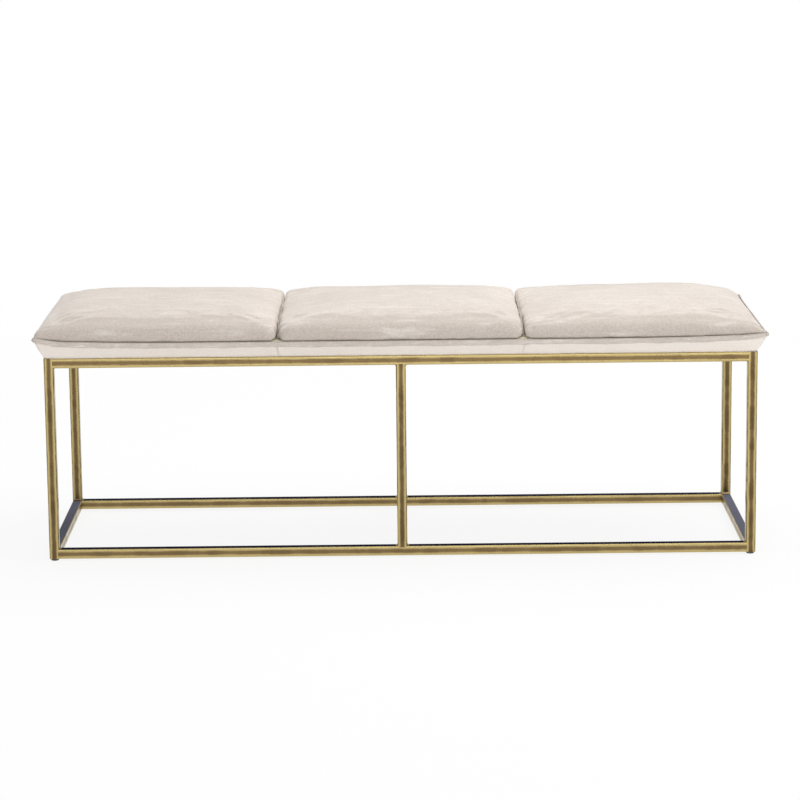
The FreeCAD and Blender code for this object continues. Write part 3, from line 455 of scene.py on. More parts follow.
# the hem reuses the band's painted-lighter tone
hemVelvet = makeVelvet("hemVelvet", velvet["bandLitTone"], velvet["shade"], velvet["light"],
                       (20, 20, 90), 0.1, False)
zinc = makePlain("zincSteel", (0.62, 0.63, 0.65), (0.42, 0.43, 0.46), 320, 0.32, 1.0)
nylon = makePlain("greyNylon", (0.10, 0.10, 0.11), (0.16, 0.16, 0.17), 180, 0.5)
foamPale = makePlain("firmFoam", (0.82, 0.78, 0.62), (0.70, 0.65, 0.48), 160, 0.9, depth=0.0006)
tapeWhite = makePlain("cottonTape", (0.72, 0.69, 0.63), (0.55, 0.52, 0.47), 120, 0.9, stretch=(400, 60, 900))
dustBlack = makePlain("dustCloth", (0.020, 0.020, 0.021), (0.045, 0.045, 0.047), 140, 0.92, depth=0.0003)
thread = makePlain("sewingThread", (0.50, 0.44, 0.38), (0.36, 0.31, 0.27), 400, 0.7)
birchPly = makePlywood()
print("materials ready")


# ---- the metal frame and the hard parts that keep their solids

hardParts = {
    "legX": 0.6765,
    "legY": 0.219,
    "lowRail": 0.0135,
    "highRail": 0.3895,
    "barHeight": 0.389,
    "railTop": 0.0224,
}


def dress(names, material):
    for name in names:
        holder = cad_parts[name]
        if not holder.material_slots:
            holder.data.materials.append(None)
        for slot in holder.material_slots:
            slot.material = material


def dressFrame():
    legX, legY = hardParts["legX"], hardParts["legY"]
    low, high = hardParts["lowRail"], hardParts["highRail"]
    above = hardParts["railTop"]
    dress([f"leg_{spot}" for spot in spots], makeBrass("brassLegs", (legX, legY, 0), 2))
    dress(("centre_post_front", "centre_post_rear"), makeBrass("brassPosts", (0, legY, 0), 2))
    dress(("top_rail_front", "top_rail_rear"), makeBrass("brassTopLong", (0, legY, high), 0))
    dress(("top_rail_left", "top_rail_right"), makeBrass("brassTopEnds", (legX, 0, high), 1))
    # the lower rails get painted shade on their top faces
    dress(("bottom_rail_front", "bottom_rail_rear"),
          makeBrass("brassLowLong", (0, legY, low), 0, above, brass["topShadeLong"]))
    dress(("bottom_rail_left", "bottom_rail_right"),
          makeBrass("brassLowEnds", (legX, 0, low), 1, above, brass["topShadeEnds"]))
    dress(("seat_cross_bar",), makeBrass("brassBar", (0, 0, hardParts["barHeight"]), 1))
    dress(("leg_caps", "weld_fillets", "seat_tabs"), makeBrass("brassSmall"))


dressFrame()
dress(("seat_washers", "tee_nuts", "cover_staples", "dust_cover_staples"), zinc)
dress([f"foot_pad_{spot}" for spot in spots] + ["leg_inserts"], nylon)
dress(("seat_board",), birchPly)
print("frame and hard parts dressed")


# ---- mesh helpers

def addPiece(name, points, faces, material, edges=()):
    mesh = bpy.data.meshes.new(name)
    mesh.from_pydata(points, edges, faces)
    mesh.validate()
    mesh.shade_smooth()
    mesh.materials.append(material)
    piece = bpy.data.objects.new(name, mesh)
    scene.collection.objects.link(piece)
    return piece


def finishPiece(piece, body, replaced):
    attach(piece, body)
    if replaced:
        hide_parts(*replaced)


def settle(piece):
    # turns what the modifiers show into the piece's own mesh
    ready = piece.evaluated_get(bpy.context.evaluated_depsgraph_get())
    mesh = bpy.data.meshes.new_from_object(ready)
    piece.modifiers.clear()
    old = piece.data
    piece.data = mesh
    mesh.name = old.name
    bpy.data.meshes.remove(old)


def ringPoints(lowX, highX, lowY, highY, corner, bows, counts, highCorner=None):
    # anticlockwise seen from above, from the front left corner; bows swell front, right, rear and left
    low, high = corner, corner if highCorner is None else highCorner
    starts = ((lowX + low, lowY), (highX, lowY + high), (highX - high, highY), (lowX, highY - low))
    ends = ((highX - high, lowY), (highX, highY - high), (lowX + low, highY), (lowX, lowY + low))
    centres = ((highX - high, lowY + high), (highX - high, highY - high),
               (lowX + low, highY - low), (lowX + low, lowY + low))
    rounds = (high, high, low, low)
    outward = ((0, -1), (1, 0), (0, 1), (-1, 0))
    longCount, shortCount, cornerCount = counts
    points = []
    for side in range(4):
        count = shortCount if side % 2 else longCount
        for step in range(count):
            share = step / count
            bow = bows[side] * (1 - (2 * share - 1) ** 2)
            points.append(tuple(
                first + (last - first) * share + away * bow
                for first, last, away in zip(starts[side], ends[side], outward[side])))
        for step in range(cornerCount):
            angle = math.radians(90 * (side - 1 + step / cornerCount))
            points.append((centres[side][0] + rounds[side] * math.cos(angle),
                           centres[side][1] + rounds[side] * math.sin(angle)))
    return points


def ringFaces(ringCount, pointCount):
    # rings of points stacked upwards, closed at both ends
    faces = []
    for ring in range(ringCount - 1):
        low, high = ring * pointCount, (ring + 1) * pointCount
        for point in range(pointCount):
            after = (point + 1) % pointCount
            faces.append((low + point, low + after, high + after, high + point))
    faces.append(tuple(range(pointCount))[::-1])
    faces.append(tuple(range((ringCount - 1) * pointCount, ringCount * pointCount)))
    return faces


def stripFaces(columnCount, around, closed=False):
    # columns that each go up the outside of a strip and down its inside
    faces = []
    for column in range(columnCount if closed else columnCount - 1):
        here, there = column * around, (column + 1) % columnCount * around
        for step in range(around):
            after = (step + 1) % around
            faces.append((here + step, there + step, there + after, here + after))
    if not closed:
        last = (columnCount - 1) * around
        faces += [tuple(range(around)), tuple(range(last, last + around))[::-1]]
    return faces


def wave(along, seed, period):
    # a smooth random swing between about -1 and 1
    return noise.noise(Vector((along / period, seed * 7.31, seed * 3.17))) * 1.6


# ---- Geometry Nodes for what repeats

def newTree(name, **inputs):
    # every tree has a Geometry, these inputs and a Material
    tree = bpy.data.node_groups.new(name, "GeometryNodeTree")
    for label, kind in (("Geometry", "Geometry"), *inputs.items(), ("Material", "Material")):
        tree.interface.new_socket(name=label, in_out="INPUT", socket_type="NodeSocket" + kind)
    tree.interface.new_socket(name="Geometry", in_out="OUTPUT", socket_type="NodeSocketGeometry")
    return tree, addNode(tree, "NodeGroupInput").outputs


def closeTree(tree, given, instances):
    # every tree ends the same way: real mesh, smooth, with its material
    soft = addNode(tree, "GeometryNodeSetShadeSmooth", {"Geometry": instances})
    real = addNode(tree, "GeometryNodeRealizeInstances", {"Geometry": soft.outputs[0]})
    coloured = addNode(tree, "GeometryNodeSetMaterial", {
        "Geometry": real.outputs[0], "Material": given["Material"]})
    addNode(tree, "NodeGroupOutput", {"Geometry": coloured.outputs[0]})
    return tree


def buildStitchLine():
    # short rounded stitches laid end to end along a line of edges
    tree, given = newTree("stitchLine", Pitch="Float", Length="Float", Thread="Float")
    line = addNode(tree, "GeometryNodeMeshToCurve", {"Mesh": given["Geometry"]})
    spread = addNode(tree, "GeometryNodeCurveToPoints", {
        "Curve": line.outputs[0], "Length": given["Pitch"]}, mode="LENGTH")
    bead = addNode(tree, "GeometryNodeMeshUVSphere", {"Segments": 6, "Rings": 5, "Radius": 1.0})
    half = calculate(tree, "MULTIPLY", given["Length"], 0.5)
    shape = addNode(tree, "ShaderNodeCombineXYZ", {"X": given["Thread"], "Y": given["Thread"], "Z": half})
    copies = addNode(tree, "GeometryNodeInstanceOnPoints", {
        "Points": spread.outputs["Points"], "Rotation": spread.outputs["Rotation"],
        "Instance": bead.outputs["Mesh"], "Scale": shape.outputs[0]})
    return closeTree(tree, given, copies.outputs[0])


def buildCopies():
    # one shape set at every point, each turned a little differently about its own axis
    tree, given = newTree("copiesAtPoints", Shape="Object", Seed="Int")
    shape = addNode(tree, "GeometryNodeObjectInfo", {"Object": given["Shape"]})
    turn = addNode(tree, "FunctionNodeRandomValue", {3: 2 * math.pi, "Seed": given["Seed"]}, data_type="FLOAT")
    angles = addNode(tree, "ShaderNodeCombineXYZ", {"Z": turn.outputs[1]})
    copies = addNode(tree, "GeometryNodeInstanceOnPoints", {
        "Points": given["Geometry"], "Instance": shape.outputs["Geometry"], "Rotation": angles.outputs[0]})
    return closeTree(tree, given, copies.outputs[0])


def growWith(holder, tree, values):
    # runs a tree on the holder and keeps what it makes as the holder's own mesh
    grower = holder.modifiers.new("grower", "NODES")
    grower.node_group = tree
    for socket in tree.interface.items_tree:
        if socket.in_out == "INPUT" and socket.name in values:
            grower[socket.identifier] = values[socket.name]
    settle(holder)


# ---- the seat's own sizes, in metres

seat = {
    "frameHalfX": 0.686,
    "frameHalfY": 0.2285,
    "seamHalfX": 0.704,
    "seamHalfY": 0.2465,
    "seamHeight": 0.432,
    "crownHeight": 0.483,
    "channelX": 0.236,
    "tipLift": (0.0075, 0.0035),
    "tipReach": 0.034,
    "rimSag": 0.0042,
    "sagReach": 0.16,
    "rimWide": 0.007,
}


def tipDistance(x, y):
    return math.hypot(abs(x) - seat["seamHalfX"], abs(y) - seat["seamHalfY"])


def tipLift(x, y):
    # the four sewn corners stand up a little, like dog ears
    return seat["tipLift"][x > 0] * math.exp(-(tipDistance(x, y) / seat["tipReach"]) ** 2)


def rimSag(x, y):
    # the long sewn edges hang a little between the corners
    inside = max(0.0, seat["seamHalfX"] - abs(x))
    inwards = max(0.0, seat["seamHalfY"] - abs(y))
    share = 1 - math.exp(-(inside / seat["sagReach"]) ** 2)
    return seat["rimSag"] * share * math.exp(-(inwards / seat["rimWide"]) ** 2)


# ---- the three seat pads, each a filled cover

pads = {
    "spans": {"Left": (-0.704, -0.2369), "Centre": (-0.2351, 0.2351), "Right": (0.2369, 0.704)},
    "seeds": {"Left": 1, "Centre": 2, "Right": 3},
    "counts": (60, 60, 10),
    "corner": 0.012,
    "cornerStart": 0.35,
    "swell": 0.003,
    "lift": 0.0004,
    "shrink": 0.0035,
    "channelShrink": 0.0006,
    # painted shade: how far along Y the normal must point before the front and rear sides darken
    "paintedShadeSlope": (0.05, 0.28),
    "seamCorner": 0.005,
    "crownShare": {"Left": 0.975, "Centre": 0.965, "Right": 0.905},
    "voxel": 0.0055,
    "pressure": 4.0,
    "frames": 20,
    "outwardCap": 0.0035,
    "inwardCap": 0.0008,
    "pinned": 0.0045,
    "pucker": 0.0026,
    "puckerReach": 0.020,
    "hemPleat": 0.0011,
    "seamWander": 0.0007,
    "leftBulge": 4.2,  # mm
    "leftShare": 0.55,
    "leftTop": 0.7,
    "leftCorner": 0.75,
    "tipPull": 0.0035,
    "tipPullReach": 0.011,
    "lump": 0.0012,
    "lumpWide": 0.11,
    "foldsWide": (0.013, 0.006),
    "foldLean": 0.8,
    "pleatWide": 0.017,
    "hemTall": 0.22,
    "hemReach": 0.02,
    "wanderWide": 0.06,
    "rimFade": 1.4,
    "tipFade": 2.5,
    "onTheTop": 0.5,  # edges nearer the middle than this are channels
}

# share of the height; inset of front and rear, of an outer end and of a channel side; swelling;
# growth of the corners at an outer end and at a channel (mm)
padLevels = (
    (0.0, 0.9, 0.9, 0.3, 0.0, 0, 0),
    (0.08, -1.0, 0.8, 0.0, 0.4, 3, 1),
    (0.18, -1.6, 3.6, 0.0, 0.8, 10, 5),
    (0.29, -1.2, 7.6, 0.0, 1.0, 19, 9),
    (0.41, 0.3, 12.4, 0.0, 1.0, 29, 13),
    (0.51, 3.0, 16.6, 0.2, 1.0, 39, 16),
    (0.59, 6.5, 20.5, 2.2, 1.0, 48, 20),
    (0.66, 12.0, 25.0, 7.5, 1.0, 57, 24),
    (0.72, 21.0, 33.0, 15.5, 0.9, 65, 30),
    (0.78, 38.0, 38.0, 29.5, 0.8, 68, 38),
    (0.84, 66.0, 48.0, 52.0, 0.7, 66, 46),
    (0.91, 102.0, 68.0, 80.0, 0.6, 60, 50),
    (0.965, 142.0, 94.0, 112.0, 0.5, 46, 44),
    (1.0, 185.0, 132.0, 150.0, 0.3, 26, 26),
)


def padStart(side, low, high, shrink):
    # rings stacked from the stitch line to the crown
    points = []
    outerEnds = (side == "Left", side == "Right")
    tall = (seat["crownHeight"] - seat["seamHeight"]) * pads["crownShare"][side] - shrink
    for share, sideIn, endIn, channelIn, swelling, endGrown, channelGrown in padLevels:
        smaller = shrink if share > 0 else 0
        if side == "Left":  # this end is filled more tightly than the right one
            if share < pads["leftTop"]:
                endIn = sideIn * pads["leftShare"] + endIn * (1 - pads["leftShare"])
            endIn -= pads["leftBulge"] * math.sin(math.pi * min(1, share / pads["leftTop"]))
            endGrown *= pads["leftCorner"]
        endGrown *= min(1.0, pads["cornerStart"] + share)
        insets = [endIn / 1000 + smaller if outer else channelIn / 1000 + min(smaller, pads["channelShrink"])
                  for outer in outerEnds]
        corners = [pads["seamCorner"] + endGrown / 1000 if outer else pads["corner"] + channelGrown / 1000
                   for outer in outerEnds]
        bow = pads["swell"] * swelling
        bows = (bow, bow / 3 if outerEnds[1] else 0, bow, bow / 3 if outerEnds[0] else 0)
        halfY = seat["seamHalfY"] - sideIn / 1000 - smaller
        ring = ringPoints(low + insets[0], high - insets[1], -halfY, halfY, corners[0], bows, pads["counts"],
                          corners[1])
        points += [(x, y, seat["seamHeight"] + pads["lift"] + tall * share) for x, y in ring]
    pointCount = len(points) // len(padLevels)
    return addPiece("pad" + side, points, ringFaces(len(padLevels), pointCount), coverVelvet)


def inflate(piece):
    # Cloth with air pressure inside; the sewn edge and the underside stay where they are
    floorLine = seat["seamHeight"] + pads["pinned"]
    held = piece.vertex_groups.new(name="sewn")
    held.add([vertex.index for vertex in piece.data.vertices if vertex.co.z < floorLine], 1.0, "REPLACE")
    rest = [vertex.co.copy() for vertex in piece.data.vertices]
    cloth = piece.modifiers.new("cloth", "CLOTH")
    cloth.settings.use_pressure = True
    cloth.settings.uniform_pressure_force = pads["pressure"]
    cloth.settings.vertex_group_mass = "sewn"
    cloth.settings.quality = 5
    cloth.settings.effector_weights.gravity = 0
    cloth.collision_settings.use_collision = False
    cloth.point_cache.frame_start = 1
    cloth.point_cache.frame_end = pads["frames"]
    for number in range(1, pads["frames"] + 1):
        scene.frame_set(number)
        bpy.context.view_layer.update()
    blown = piece.evaluated_get(bpy.context.evaluated_depsgraph_get()).data
    moved = [vertex.co.copy() for vertex in blown.vertices]
    piece.modifiers.clear()
    scene.frame_set(1)
    for vertex, before, after in zip(piece.data.vertices, rest, moved):
        step = after - before
        cap = pads["outwardCap"] if step.dot(vertex.normal) > 0 else pads["inwardCap"]
        if step.length > cap:
            step *= cap / step.length
        vertex.co = before + step


def padPush(x, y, z, share, low, high, seed):
    # how far the cloth stands out: soft unevenness, puckers at the channels, pleats at the sewn edge
    push = pads["lump"] * wave(x + 0.4 * y, seed, pads["lumpWide"]) * min(1, share * 1.5)
    along = y - (z - seat["crownHeight"]) * math.copysign(pads["foldLean"], y)
    for edge, place in ((low, -1), (high, 1)):
        if abs(edge) < pads["onTheTop"]:
            fold = wave(along, seed * 5 + place, pads["foldsWide"][0])
            fold += 0.5 * wave(along, seed * 9 + place, pads["foldsWide"][1])
            push += pads["pucker"] * math.exp(-abs(x - edge) / pads["puckerReach"]) * fold
    outer = max(abs(y) - seat["seamHalfY"], abs(x) - seat["seamHalfX"])
    hem = math.exp(-share / pads["hemTall"]) * math.exp(-abs(outer) / pads["hemReach"])
    return push + pads["hemPleat"] * hem * wave(x + y, seed * 3, pads["pleatWide"]), hem


def workPad(piece, side, low, high):
    # unevenness and puckers first, then the lifted corners and the hanging edge
    mesh = piece.data
    normals = [vertex.normal.copy() for vertex in mesh.vertices]
    # painted shade: an attribute that rises on the front- and rear-facing sides, read by the velvet
    nap = mesh.attributes.new("nap", "FLOAT", "POINT")
    start, full = pads["paintedShadeSlope"]
    nap.data.foreach_set("value", [
        min(2.0, max(-1.0, (abs(normal.y) - start) / (full - start))) for normal in normals])
    tall = seat["crownHeight"] - seat["seamHeight"]
    for vertex, normal in zip(mesh.vertices, normals):
        x, y, z = vertex.co
        share = max(0.0, (z - seat["seamHeight"]) / tall)
        if share < 0.02 and normal.z < -0.5:
            continue
        push, hem = padPush(x, y, z, share, low, high, pads["seeds"][side])
        rim = max(0.0, 1 - share * pads["rimFade"])
        vertex.co += normal * push
        vertex.co.z += tipLift(x, y) * rim
        pull = pads["tipPull"] * math.exp(-(tipDistance(x, y) / pads["tipPullReach"]) ** 2)
        pull *= max(0.0, 1 - share * pads["tipFade"])
        vertex.co.x += math.copysign(pull, x)
        vertex.co.y += math.copysign(pull, y)
        vertex.co.z += pads["seamWander"] * hem * (wave(x + 1.7 * y, 41, pads["wanderWide"]) + 0.7)
        if abs(low) < pads["onTheTop"]:
            vertex.co.x = max(vertex.co.x, low)
        if abs(high) < pads["onTheTop"]:
            vertex.co.x = min(vertex.co.x, high)
        vertex.co.z = max(vertex.co.z, seat["seamHeight"] + 0.0002)
        vertex.co.z -= rimSag(x, y) * rim
    mesh.update()


def makePad(side):
    low, high = pads["spans"][side]
    piece = padStart(side, low, high, pads["shrink"])
    remesh = piece.modifiers.new("remesh", "REMESH")
    remesh.mode = "VOXEL"
    remesh.voxel_size = pads["voxel"]
    remesh.use_smooth_shade = True
    settle(piece)
    inflate(piece)
    smooth = piece.modifiers.new("smooth", "SMOOTH")
    smooth.factor = 0.5
    smooth.iterations = 3
    finer = piece.modifiers.new("finer", "SUBSURF")
    finer.levels = finer.render_levels = 1
    settle(piece)
    workPad(piece, side, low, high)
    name = side.lower()
    finishPiece(piece, "frame", (f"cover_{name}", f"batting_{name}", f"foam_{name}"))
    print("pad", side, len(piece.data.vertices), "points")


for side in pads["spans"]:
    makePad(side)


# ---- the base foam, the border strips and the sewn lip round the seat

base = {
    "levels": ((-0.0050, 0.4187), (0.0010, 0.4205), (0.0060, 0.4240), (0.0085, 0.4275), (0.0080, 0.4300),
               (0.0045, 0.4318)),
    "corner": 0.006,
    "counts": (120, 50, 8),
}

border = {
    "bottomOut": -0.0012,
    "bottomHeight": 0.4006,
    "topOut": 0.0178,
    "topHeight": 0.4314,
    "cloth": 0.0016,
    "rows": 12,
    "belly": 0.0011,
    "ripple": 0.0009,
    "ripplesWide": (0.07, 0.023),
    "corners": (0.004, 0.012),
    "seamDip": 0.0012,
    "seamReach": 0.003,
    # painted shadow under the lip: the band darkens from this share of its height up to this one
    "lipShadowFrom": 0.72,
    "lipShadowFull": 0.90,
    "longCount": 360,
    "shortCount": 130,
    "cornerCount": 16,
}

lip = {
    "rootOut": 0.0173,
    "rootHeight": 0.4348,
    "edgeOut": 0.0198,
    "edgeHeight": 0.4256,
    "half": 0.0010,
    "line": 0.0165,
    "corner": 0.005,
    "wander": 0.0012,
    "wandersWide": (0.06, 0.017),
    "flare": 0.0008,
    "flaresWide": (0.05, 0.013),
    "cornerShort": 0.55,
    "cornerReach": 0.024,
    "stations": (420, 150, 14),
    "across": 6,
    "around": 5,
}

sewing = {
    "down": 0.12,
    "pitch": 0.0052,
    "length": 0.0036,
    "thread": 0.0004,
}


def seatRing(out, corner, counts):
    halfX, halfY = seat["frameHalfX"] + out, seat["frameHalfY"] + out
    return ringPoints(-halfX, halfX, -halfY, halfY, corner, (0, 0, 0, 0), counts)


def makeBaseFoam():
    points = []
    for out, height in base["levels"]:
        points += [(x, y, height) for x, y in seatRing(out, base["corner"], base["counts"])]
    pointCount = len(points) // len(base["levels"])
    piece = addPiece("baseFoam", points, ringFaces(len(base["levels"]), pointCount), foamPale)
    finishPiece(piece, "frame", ("base_foam",))


def borderPoint(x, y, above, inner):
    # how far out and how high a point of the sloping border lies, with its ripples
    out = border["bottomOut"] + (border["topOut"] - border["bottomOut"]) * above
    height = border["bottomHeight"] + (border["topHeight"] - border["bottomHeight"]) * above
    along = x + 1.7 * y
    first, second = border["ripplesWide"]
    swell = border["belly"] * math.sin(math.pi * above)
    swell += border["ripple"] * (1 - above ** 2) * (wave(along, 21, first) + 0.6 * wave(along, 22, second))
    seam = min(abs(abs(x) - seat["channelX"]), 0.05)
    swell -= border["seamDip"] * math.exp(-(seam / border["seamReach"]) ** 2) if abs(y) > 0.2 else 0
    swell -= border["cloth"] if inner else 0
    return out + swell, height + (tipLift(x * 1.02, y * 1.05) - rimSag(x, abs(y) + 0.02)) * above


ringsKept = {}


def seatRingKept(out, corner, counts):
    # each ring is worked out once
    key = (round(out, 5), round(corner, 5), counts)
    if key not in ringsKept:
        ringsKept[key] = seatRing(key[0], key[1], counts)
    return ringsKept[key]


def borderRings():
    # rings up the outside, and then the same rings down the inside
    counts = (border["longCount"], border["shortCount"], border["cornerCount"])
    low, high = border["corners"]
    steps = [row / border["rows"] for row in range(border["rows"] + 1)]
    order = [(above, False) for above in steps] + [(above, True) for above in reversed(steps)]
    rings = []
    for above, inner in order:
        corner = low + (high - low) * above
        ring = []
        for index, (x, y) in enumerate(seatRingKept(0.0, corner, counts)):
            out, height = borderPoint(x, y, above, inner)
            ring.append((*seatRingKept(out, corner, counts)[index], height))
        rings.append(ring)
    return rings, [above for above, inner in order]


def makeBorder():
    rings, shares = borderRings()
    longCount, shortCount, cornerCount = border["longCount"], border["shortCount"], border["cornerCount"]
    total = len(rings[0])
    frontEnd = longCount + cornerCount // 2
    rightEnd = frontEnd + shortCount + cornerCount
    rearEnd = rightEnd + longCount + cornerCount
    leftEnd = rearEnd + shortCount + cornerCount

    def nearX(target, first, last):
        return min(range(first, last), key=lambda index: abs(rings[0][index % total][0] - target))

    channel = seat["channelX"]
    frontLow, frontHigh = nearX(-channel, 0, longCount), nearX(channel, 0, longCount)
    rearHigh, rearLow = nearX(channel, rightEnd, rearEnd), nearX(-channel, rightEnd, rearEnd)
    strips = {
        "front_left": (leftEnd - total, frontLow), "front_centre": (frontLow, frontHigh),
        "front_right": (frontHigh, frontEnd), "end_right": (frontEnd, rightEnd),
        "rear_right": (rightEnd, rearHigh), "rear_centre": (rearHigh, rearLow),
        "rear_left": (rearLow, rearEnd), "end_left": (rearEnd, leftEnd),
    }
    reach = border["lipShadowFull"] - border["lipShadowFrom"]
    for name, (first, last) in strips.items():
        columns = range(first, last + 1)
        points = [ring[column % total] for column in columns for ring in rings]
        pieceName = "border" + name.title().replace("_", "")
        piece = addPiece(pieceName, points, stripFaces(len(columns), len(rings)), bandVelvet)
        # painted shadow under the lip: the attribute that darkens the velvet rises towards each strip's top
        shadowUnderLip = piece.data.attributes.new("nap", "FLOAT", "POINT")
        shadowUnderLip.data.foreach_set("value", [
            max(-1.0, (above - border["lipShadowFrom"]) / reach) for column in columns for above in shares])
        finishPiece(piece, "frame", (f"band_{name}",))
    print("border strips ready")


def lipWander(x, y):
    along = x + 1.7 * y
    first, second = lip["wandersWide"]
    lift = lip["wander"] * (wave(along, 41, first) + 0.5 * wave(along, 42, second))
    first, second = lip["flaresWide"]
    flare = lip["flare"] * (wave(along, 43, first) + 0.6 * wave(along, 44, second))
    return lift, flare


def lipPoint(plan, index, out, height):
    # a point of the lip's section carried to one station of the seam, with its waves
    x, y = plan[index]
    share = (lip["rootHeight"] - height) / (lip["rootHeight"] - lip["edgeHeight"])
    lift, flare = lipWander(x, y)
    short = lip["cornerShort"] * math.exp(-(tipDistance(x, y) / lip["cornerReach"]) ** 2)
    height += (lip["rootHeight"] - height) * short + lift * share + tipLift(x, y) - rimSag(x, abs(y) + 0.02)
    before, after = plan[index - 1], plan[(index + 1) % len(plan)]
    tangent = Vector((after[0] - before[0], after[1] - before[1])).normalized()
    beyond = out - lip["line"] + flare * share * (1 - short)
    return (x + tangent.y * beyond, y - tangent.x * beyond, height)


def lipSlope():
    root = Vector((lip["rootOut"], lip["rootHeight"]))
    edge = Vector((lip["edgeOut"], lip["edgeHeight"]))
    slope = (edge - root).normalized()
    return root, edge, slope, Vector((-slope.y, slope.x))


def makeLip():
    # a closed ribbon, hanging outwards from the stitch line
    root, edge, slope, side = lipSlope()
    half = lip["half"]
    steps = [step / lip["across"] for step in range(lip["across"] + 1)]
    section = [root.lerp(edge, share) + side * half for share in steps]
    for step in range(1, lip["around"]):
        angle = math.pi * step / lip["around"]
        section.append(edge + side * half * math.cos(angle) + slope * half * math.sin(angle))
    section += [root.lerp(edge, share) - side * half for share in reversed(steps)]
    section.reverse()
    plan = seatRing(lip["line"], lip["corner"], lip["stations"])
    points = [lipPoint(plan, index, spot.x, spot.y) for index in range(len(plan)) for spot in section]
    piece = addPiece("seamLip", points, stripFaces(len(plan), len(section), closed=True), lipVelvet)
    finishPiece(piece, "frame", ("seam_flange",))
    print("seam lip ready")


def makeStitches():
    # one line of thread through the lip, all the way round
    root, edge, slope, side = lipSlope()
    spot = root.lerp(edge, sewing["down"]) + side * (lip["half"] + sewing["thread"] * 0.3)
    plan = seatRing(lip["line"], lip["corner"], lip["stations"])
    points = [lipPoint(plan, index, spot.x, spot.y) for index in range(len(plan))]
    line = [(index, (index + 1) % len(points)) for index in range(len(points))]
    piece = addPiece("seamStitches", points, [], thread, line)
    growWith(piece, buildStitchLine(), {
        "Pitch": sewing["pitch"], "Length": sewing["length"], "Thread": sewing["thread"], "Material": thread})
    finishPiece(piece, "frame", ())
    print("stitches ready", len(piece.data.vertices), "points")


makeBaseFoam()
makeBorder()
makeLip()
makeStitches()


# ---- cloths underneath and tapes in the channels

under = {
    "hemOuter": (0.6845, 0.227),
    "hemWide": 0.044,
    "hemLow": 0.39905,
    "hemHigh": 0.40045,
    "hemRound": 0.0004,
    "hemCorner": 0.004,
    "hemCounts": (220, 90, 6),
    "dustHalf": (0.661, 0.2035),
    "dustHeight": 0.39885,
    "dustThick": 0.0004,
    "dustGrid": (176, 56),
    "sag": 0.0035,
    "wrinkle": 0.0004,
    "tapeThick": 0.0012,
    "tapeGrid": (90, 6),
    "tapeDip": 0.055,
    "tapeDipFrom": 0.55,
}


def makeHem():
    # the cover's turned-in edge, flat between the board and the frame
    outerX, outerY = under["hemOuter"]
    low, high = under["hemLow"], under["hemHigh"]
    rings = []
    for inset, height in ((0.0, low), (-under["hemRound"], (low + high) / 2), (0.0, high),
                          (under["hemWide"], high), (under["hemWide"], low)):
        ring = ringPoints(-outerX + inset, outerX - inset, -outerY + inset, outerY - inset,
                          under["hemCorner"], (0, 0, 0, 0), under["hemCounts"])
        if inset > 0:  # the cut edge isn't quite straight
            ring = [(x * (1 + 0.002 * wave(x + y, 51, 0.05)), y * (1 + 0.006 * wave(x - y, 52, 0.05)))
                    for x, y in ring]
        rings.append([(x, y, height) for x, y in ring])
    points = [ring[station] for station in range(len(rings[0])) for ring in rings]
    faces = stripFaces(len(rings[0]), len(rings), closed=True)
    finishPiece(addPiece("coverHem", points, faces, hemVelvet), "frame", ("cover_hem",))


def makeDustCover():
    halfX, halfY = under["dustHalf"]
    columns, rows = under["dustGrid"]
    points, faces = [], []
    for row in range(rows + 1):
        for column in range(columns + 1):
            x = halfX * (2 * column / columns - 1)
            y = halfY * (2 * row / rows - 1)
            bay = abs(math.sin(math.pi * x / halfX)) * math.cos(math.pi * y / halfY / 2)
            drop = under["sag"] * bay + under["wrinkle"] * bay * wave(x + 2 * y, 61, 0.05)
            points.append((x, y, under["dustHeight"] - drop))
            if row < rows and column < columns:
                here = row * (columns + 1) + column
                faces.append((here, here + columns + 1, here + columns + 2, here + 1))
    piece = addPiece("dustCover", points, faces, dustBlack)
    thick = piece.modifiers.new("thick", "SOLIDIFY")
    thick.thickness = under["dustThick"]
    thick.offset = 0
    settle(piece)
    finishPiece(piece, "frame", ("dust_cover",))


def makeTapes():
    # two strips on edge, dipping towards the front and the rear
    low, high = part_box("channel_tapes")
    columns, rows = under["tapeGrid"]
    points, faces = [], []
    for sign in (-1, 1):
        first = len(points)
        for column in range(columns + 1):
            y = low.y + (high.y - low.y) * column / columns
            top = high.z - under["tapeDip"] * max(0.0, abs(y) / high.y - under["tapeDipFrom"]) ** 1.5
            heights = [low.z + (top - low.z) * row / rows for row in range(rows + 1)]
            for face, order in ((1, heights), (-1, heights[::-1])):
                x = sign * seat["channelX"] + face * under["tapeThick"] / 2
                points += [(x, y, z) for z in order]
        faces += [tuple(first + corner for corner in face)
                  for face in stripFaces(columns + 1, 2 * rows + 2)]
    finishPiece(addPiece("channelTapes", points, faces, tapeWhite), "frame", ("channel_tapes",))


makeHem()
makeDustCover()
makeTapes()
print("cloths underneath ready")


# ---- levelling feet: studs with a cut thread

stud = {
    "radius": 0.003,
    "pitch": 0.001,
    "depth": 0.0003,
    "around": 20,
    "perTurn": 6,
    "headRadius": 0.0046,
    "headLow": 0.001,
    "headHigh": 0.0021,
    "top": 0.025,
}


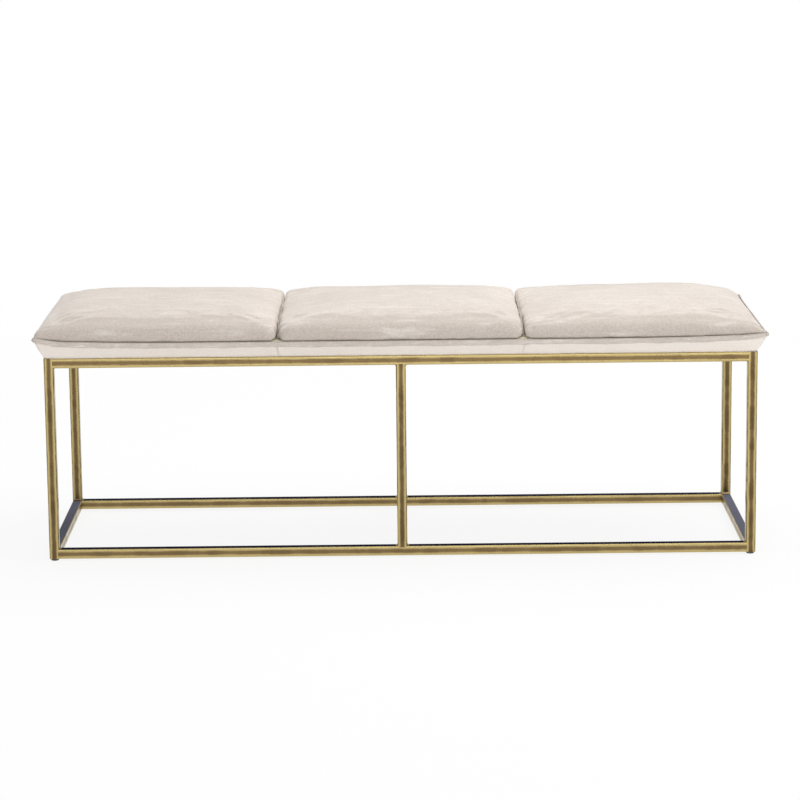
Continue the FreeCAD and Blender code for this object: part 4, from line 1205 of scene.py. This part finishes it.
def turnedPoints(rows, around, centreX=0.0, centreY=0.0):
    # rows of height, radius and cut: none, a thread or a hexagon
    points = []
    for height, radius, cut in rows:
        for turn in range(around):
            angle = 2 * math.pi * turn / around
            reach = radius
            if cut == "thread":
                phase = (height / stud["pitch"] - turn / around) % 1
                reach -= stud["depth"] * abs(2 * phase - 1)
            elif cut == "hexagon":
                reach /= math.cos((angle + math.pi / 6) % (math.pi / 3) - math.pi / 6)
            points.append((centreX + reach * math.cos(angle), centreY + reach * math.sin(angle), height))
    return points


def threadRows(low, high):
    steps = int((high - low) / stud["pitch"] * stud["perTurn"])
    return [(low + (high - low) * step / steps, stud["radius"], "thread") for step in range(steps + 1)]


def makeStud(spot):
    low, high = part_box(f"foot_stud_{spot}")
    rows = [(stud["headLow"], stud["headRadius"], ""), (stud["headHigh"], stud["headRadius"], "")]
    rows += threadRows(stud["headHigh"], stud["top"])
    points = turnedPoints(rows, stud["around"], (low.x + high.x) / 2, (low.y + high.y) / 2)
    name = "stud" + spot.title().replace("_", "")
    piece = addPiece(name, points, ringFaces(len(rows), stud["around"]), zinc)
    finishPiece(piece, f"stud_{spot}", (f"foot_stud_{spot}",))


for spot in spots:
    makeStud(spot)
print("feet ready")


# ---- the screws that hold the seat, with a hexagon socket and a thread

screw = {
    "places": ((-0.6, -0.1965), (0.051, -0.1965), (0.6, -0.1965), (-0.6, 0.1965), (0.051, 0.1965),
               (0.6, 0.1965), (-0.654, 0.0), (0.654, 0.0)),
    "low": 0.3905,
    "high": 0.4141,
    "headRadius": 0.006,
    "headFlat": 0.0036,
    "headTall": 0.0036,
    "socket": 0.002,
    "socketDeep": 0.002,
    "around": 24,
}


def makeScrews():
    top, headTop = screw["high"] - screw["low"], screw["headTall"]
    rows = [(screw["socketDeep"], screw["socket"], "hexagon"), (0.0, screw["socket"], "hexagon"),
            (0.0, screw["headFlat"], ""), (headTop * 0.2, screw["headRadius"] * 0.85, ""),
            (headTop * 0.5, screw["headRadius"], ""), (headTop, screw["headRadius"], "")]
    rows += threadRows(headTop, top)
    points = turnedPoints(rows, screw["around"])
    shape = addPiece("screwShape", points, ringFaces(len(rows), screw["around"]), zinc)
    piece = addPiece("seatScrews", [(x, y, screw["low"]) for x, y in screw["places"]], [], zinc)
    growWith(piece, buildCopies(), {"Shape": shape, "Seed": 4, "Material": zinc})
    bpy.data.objects.remove(shape)
    finishPiece(piece, "frame", ("seat_screws",))
    print("seat screws ready", len(piece.data.vertices), "points")


makeScrews()
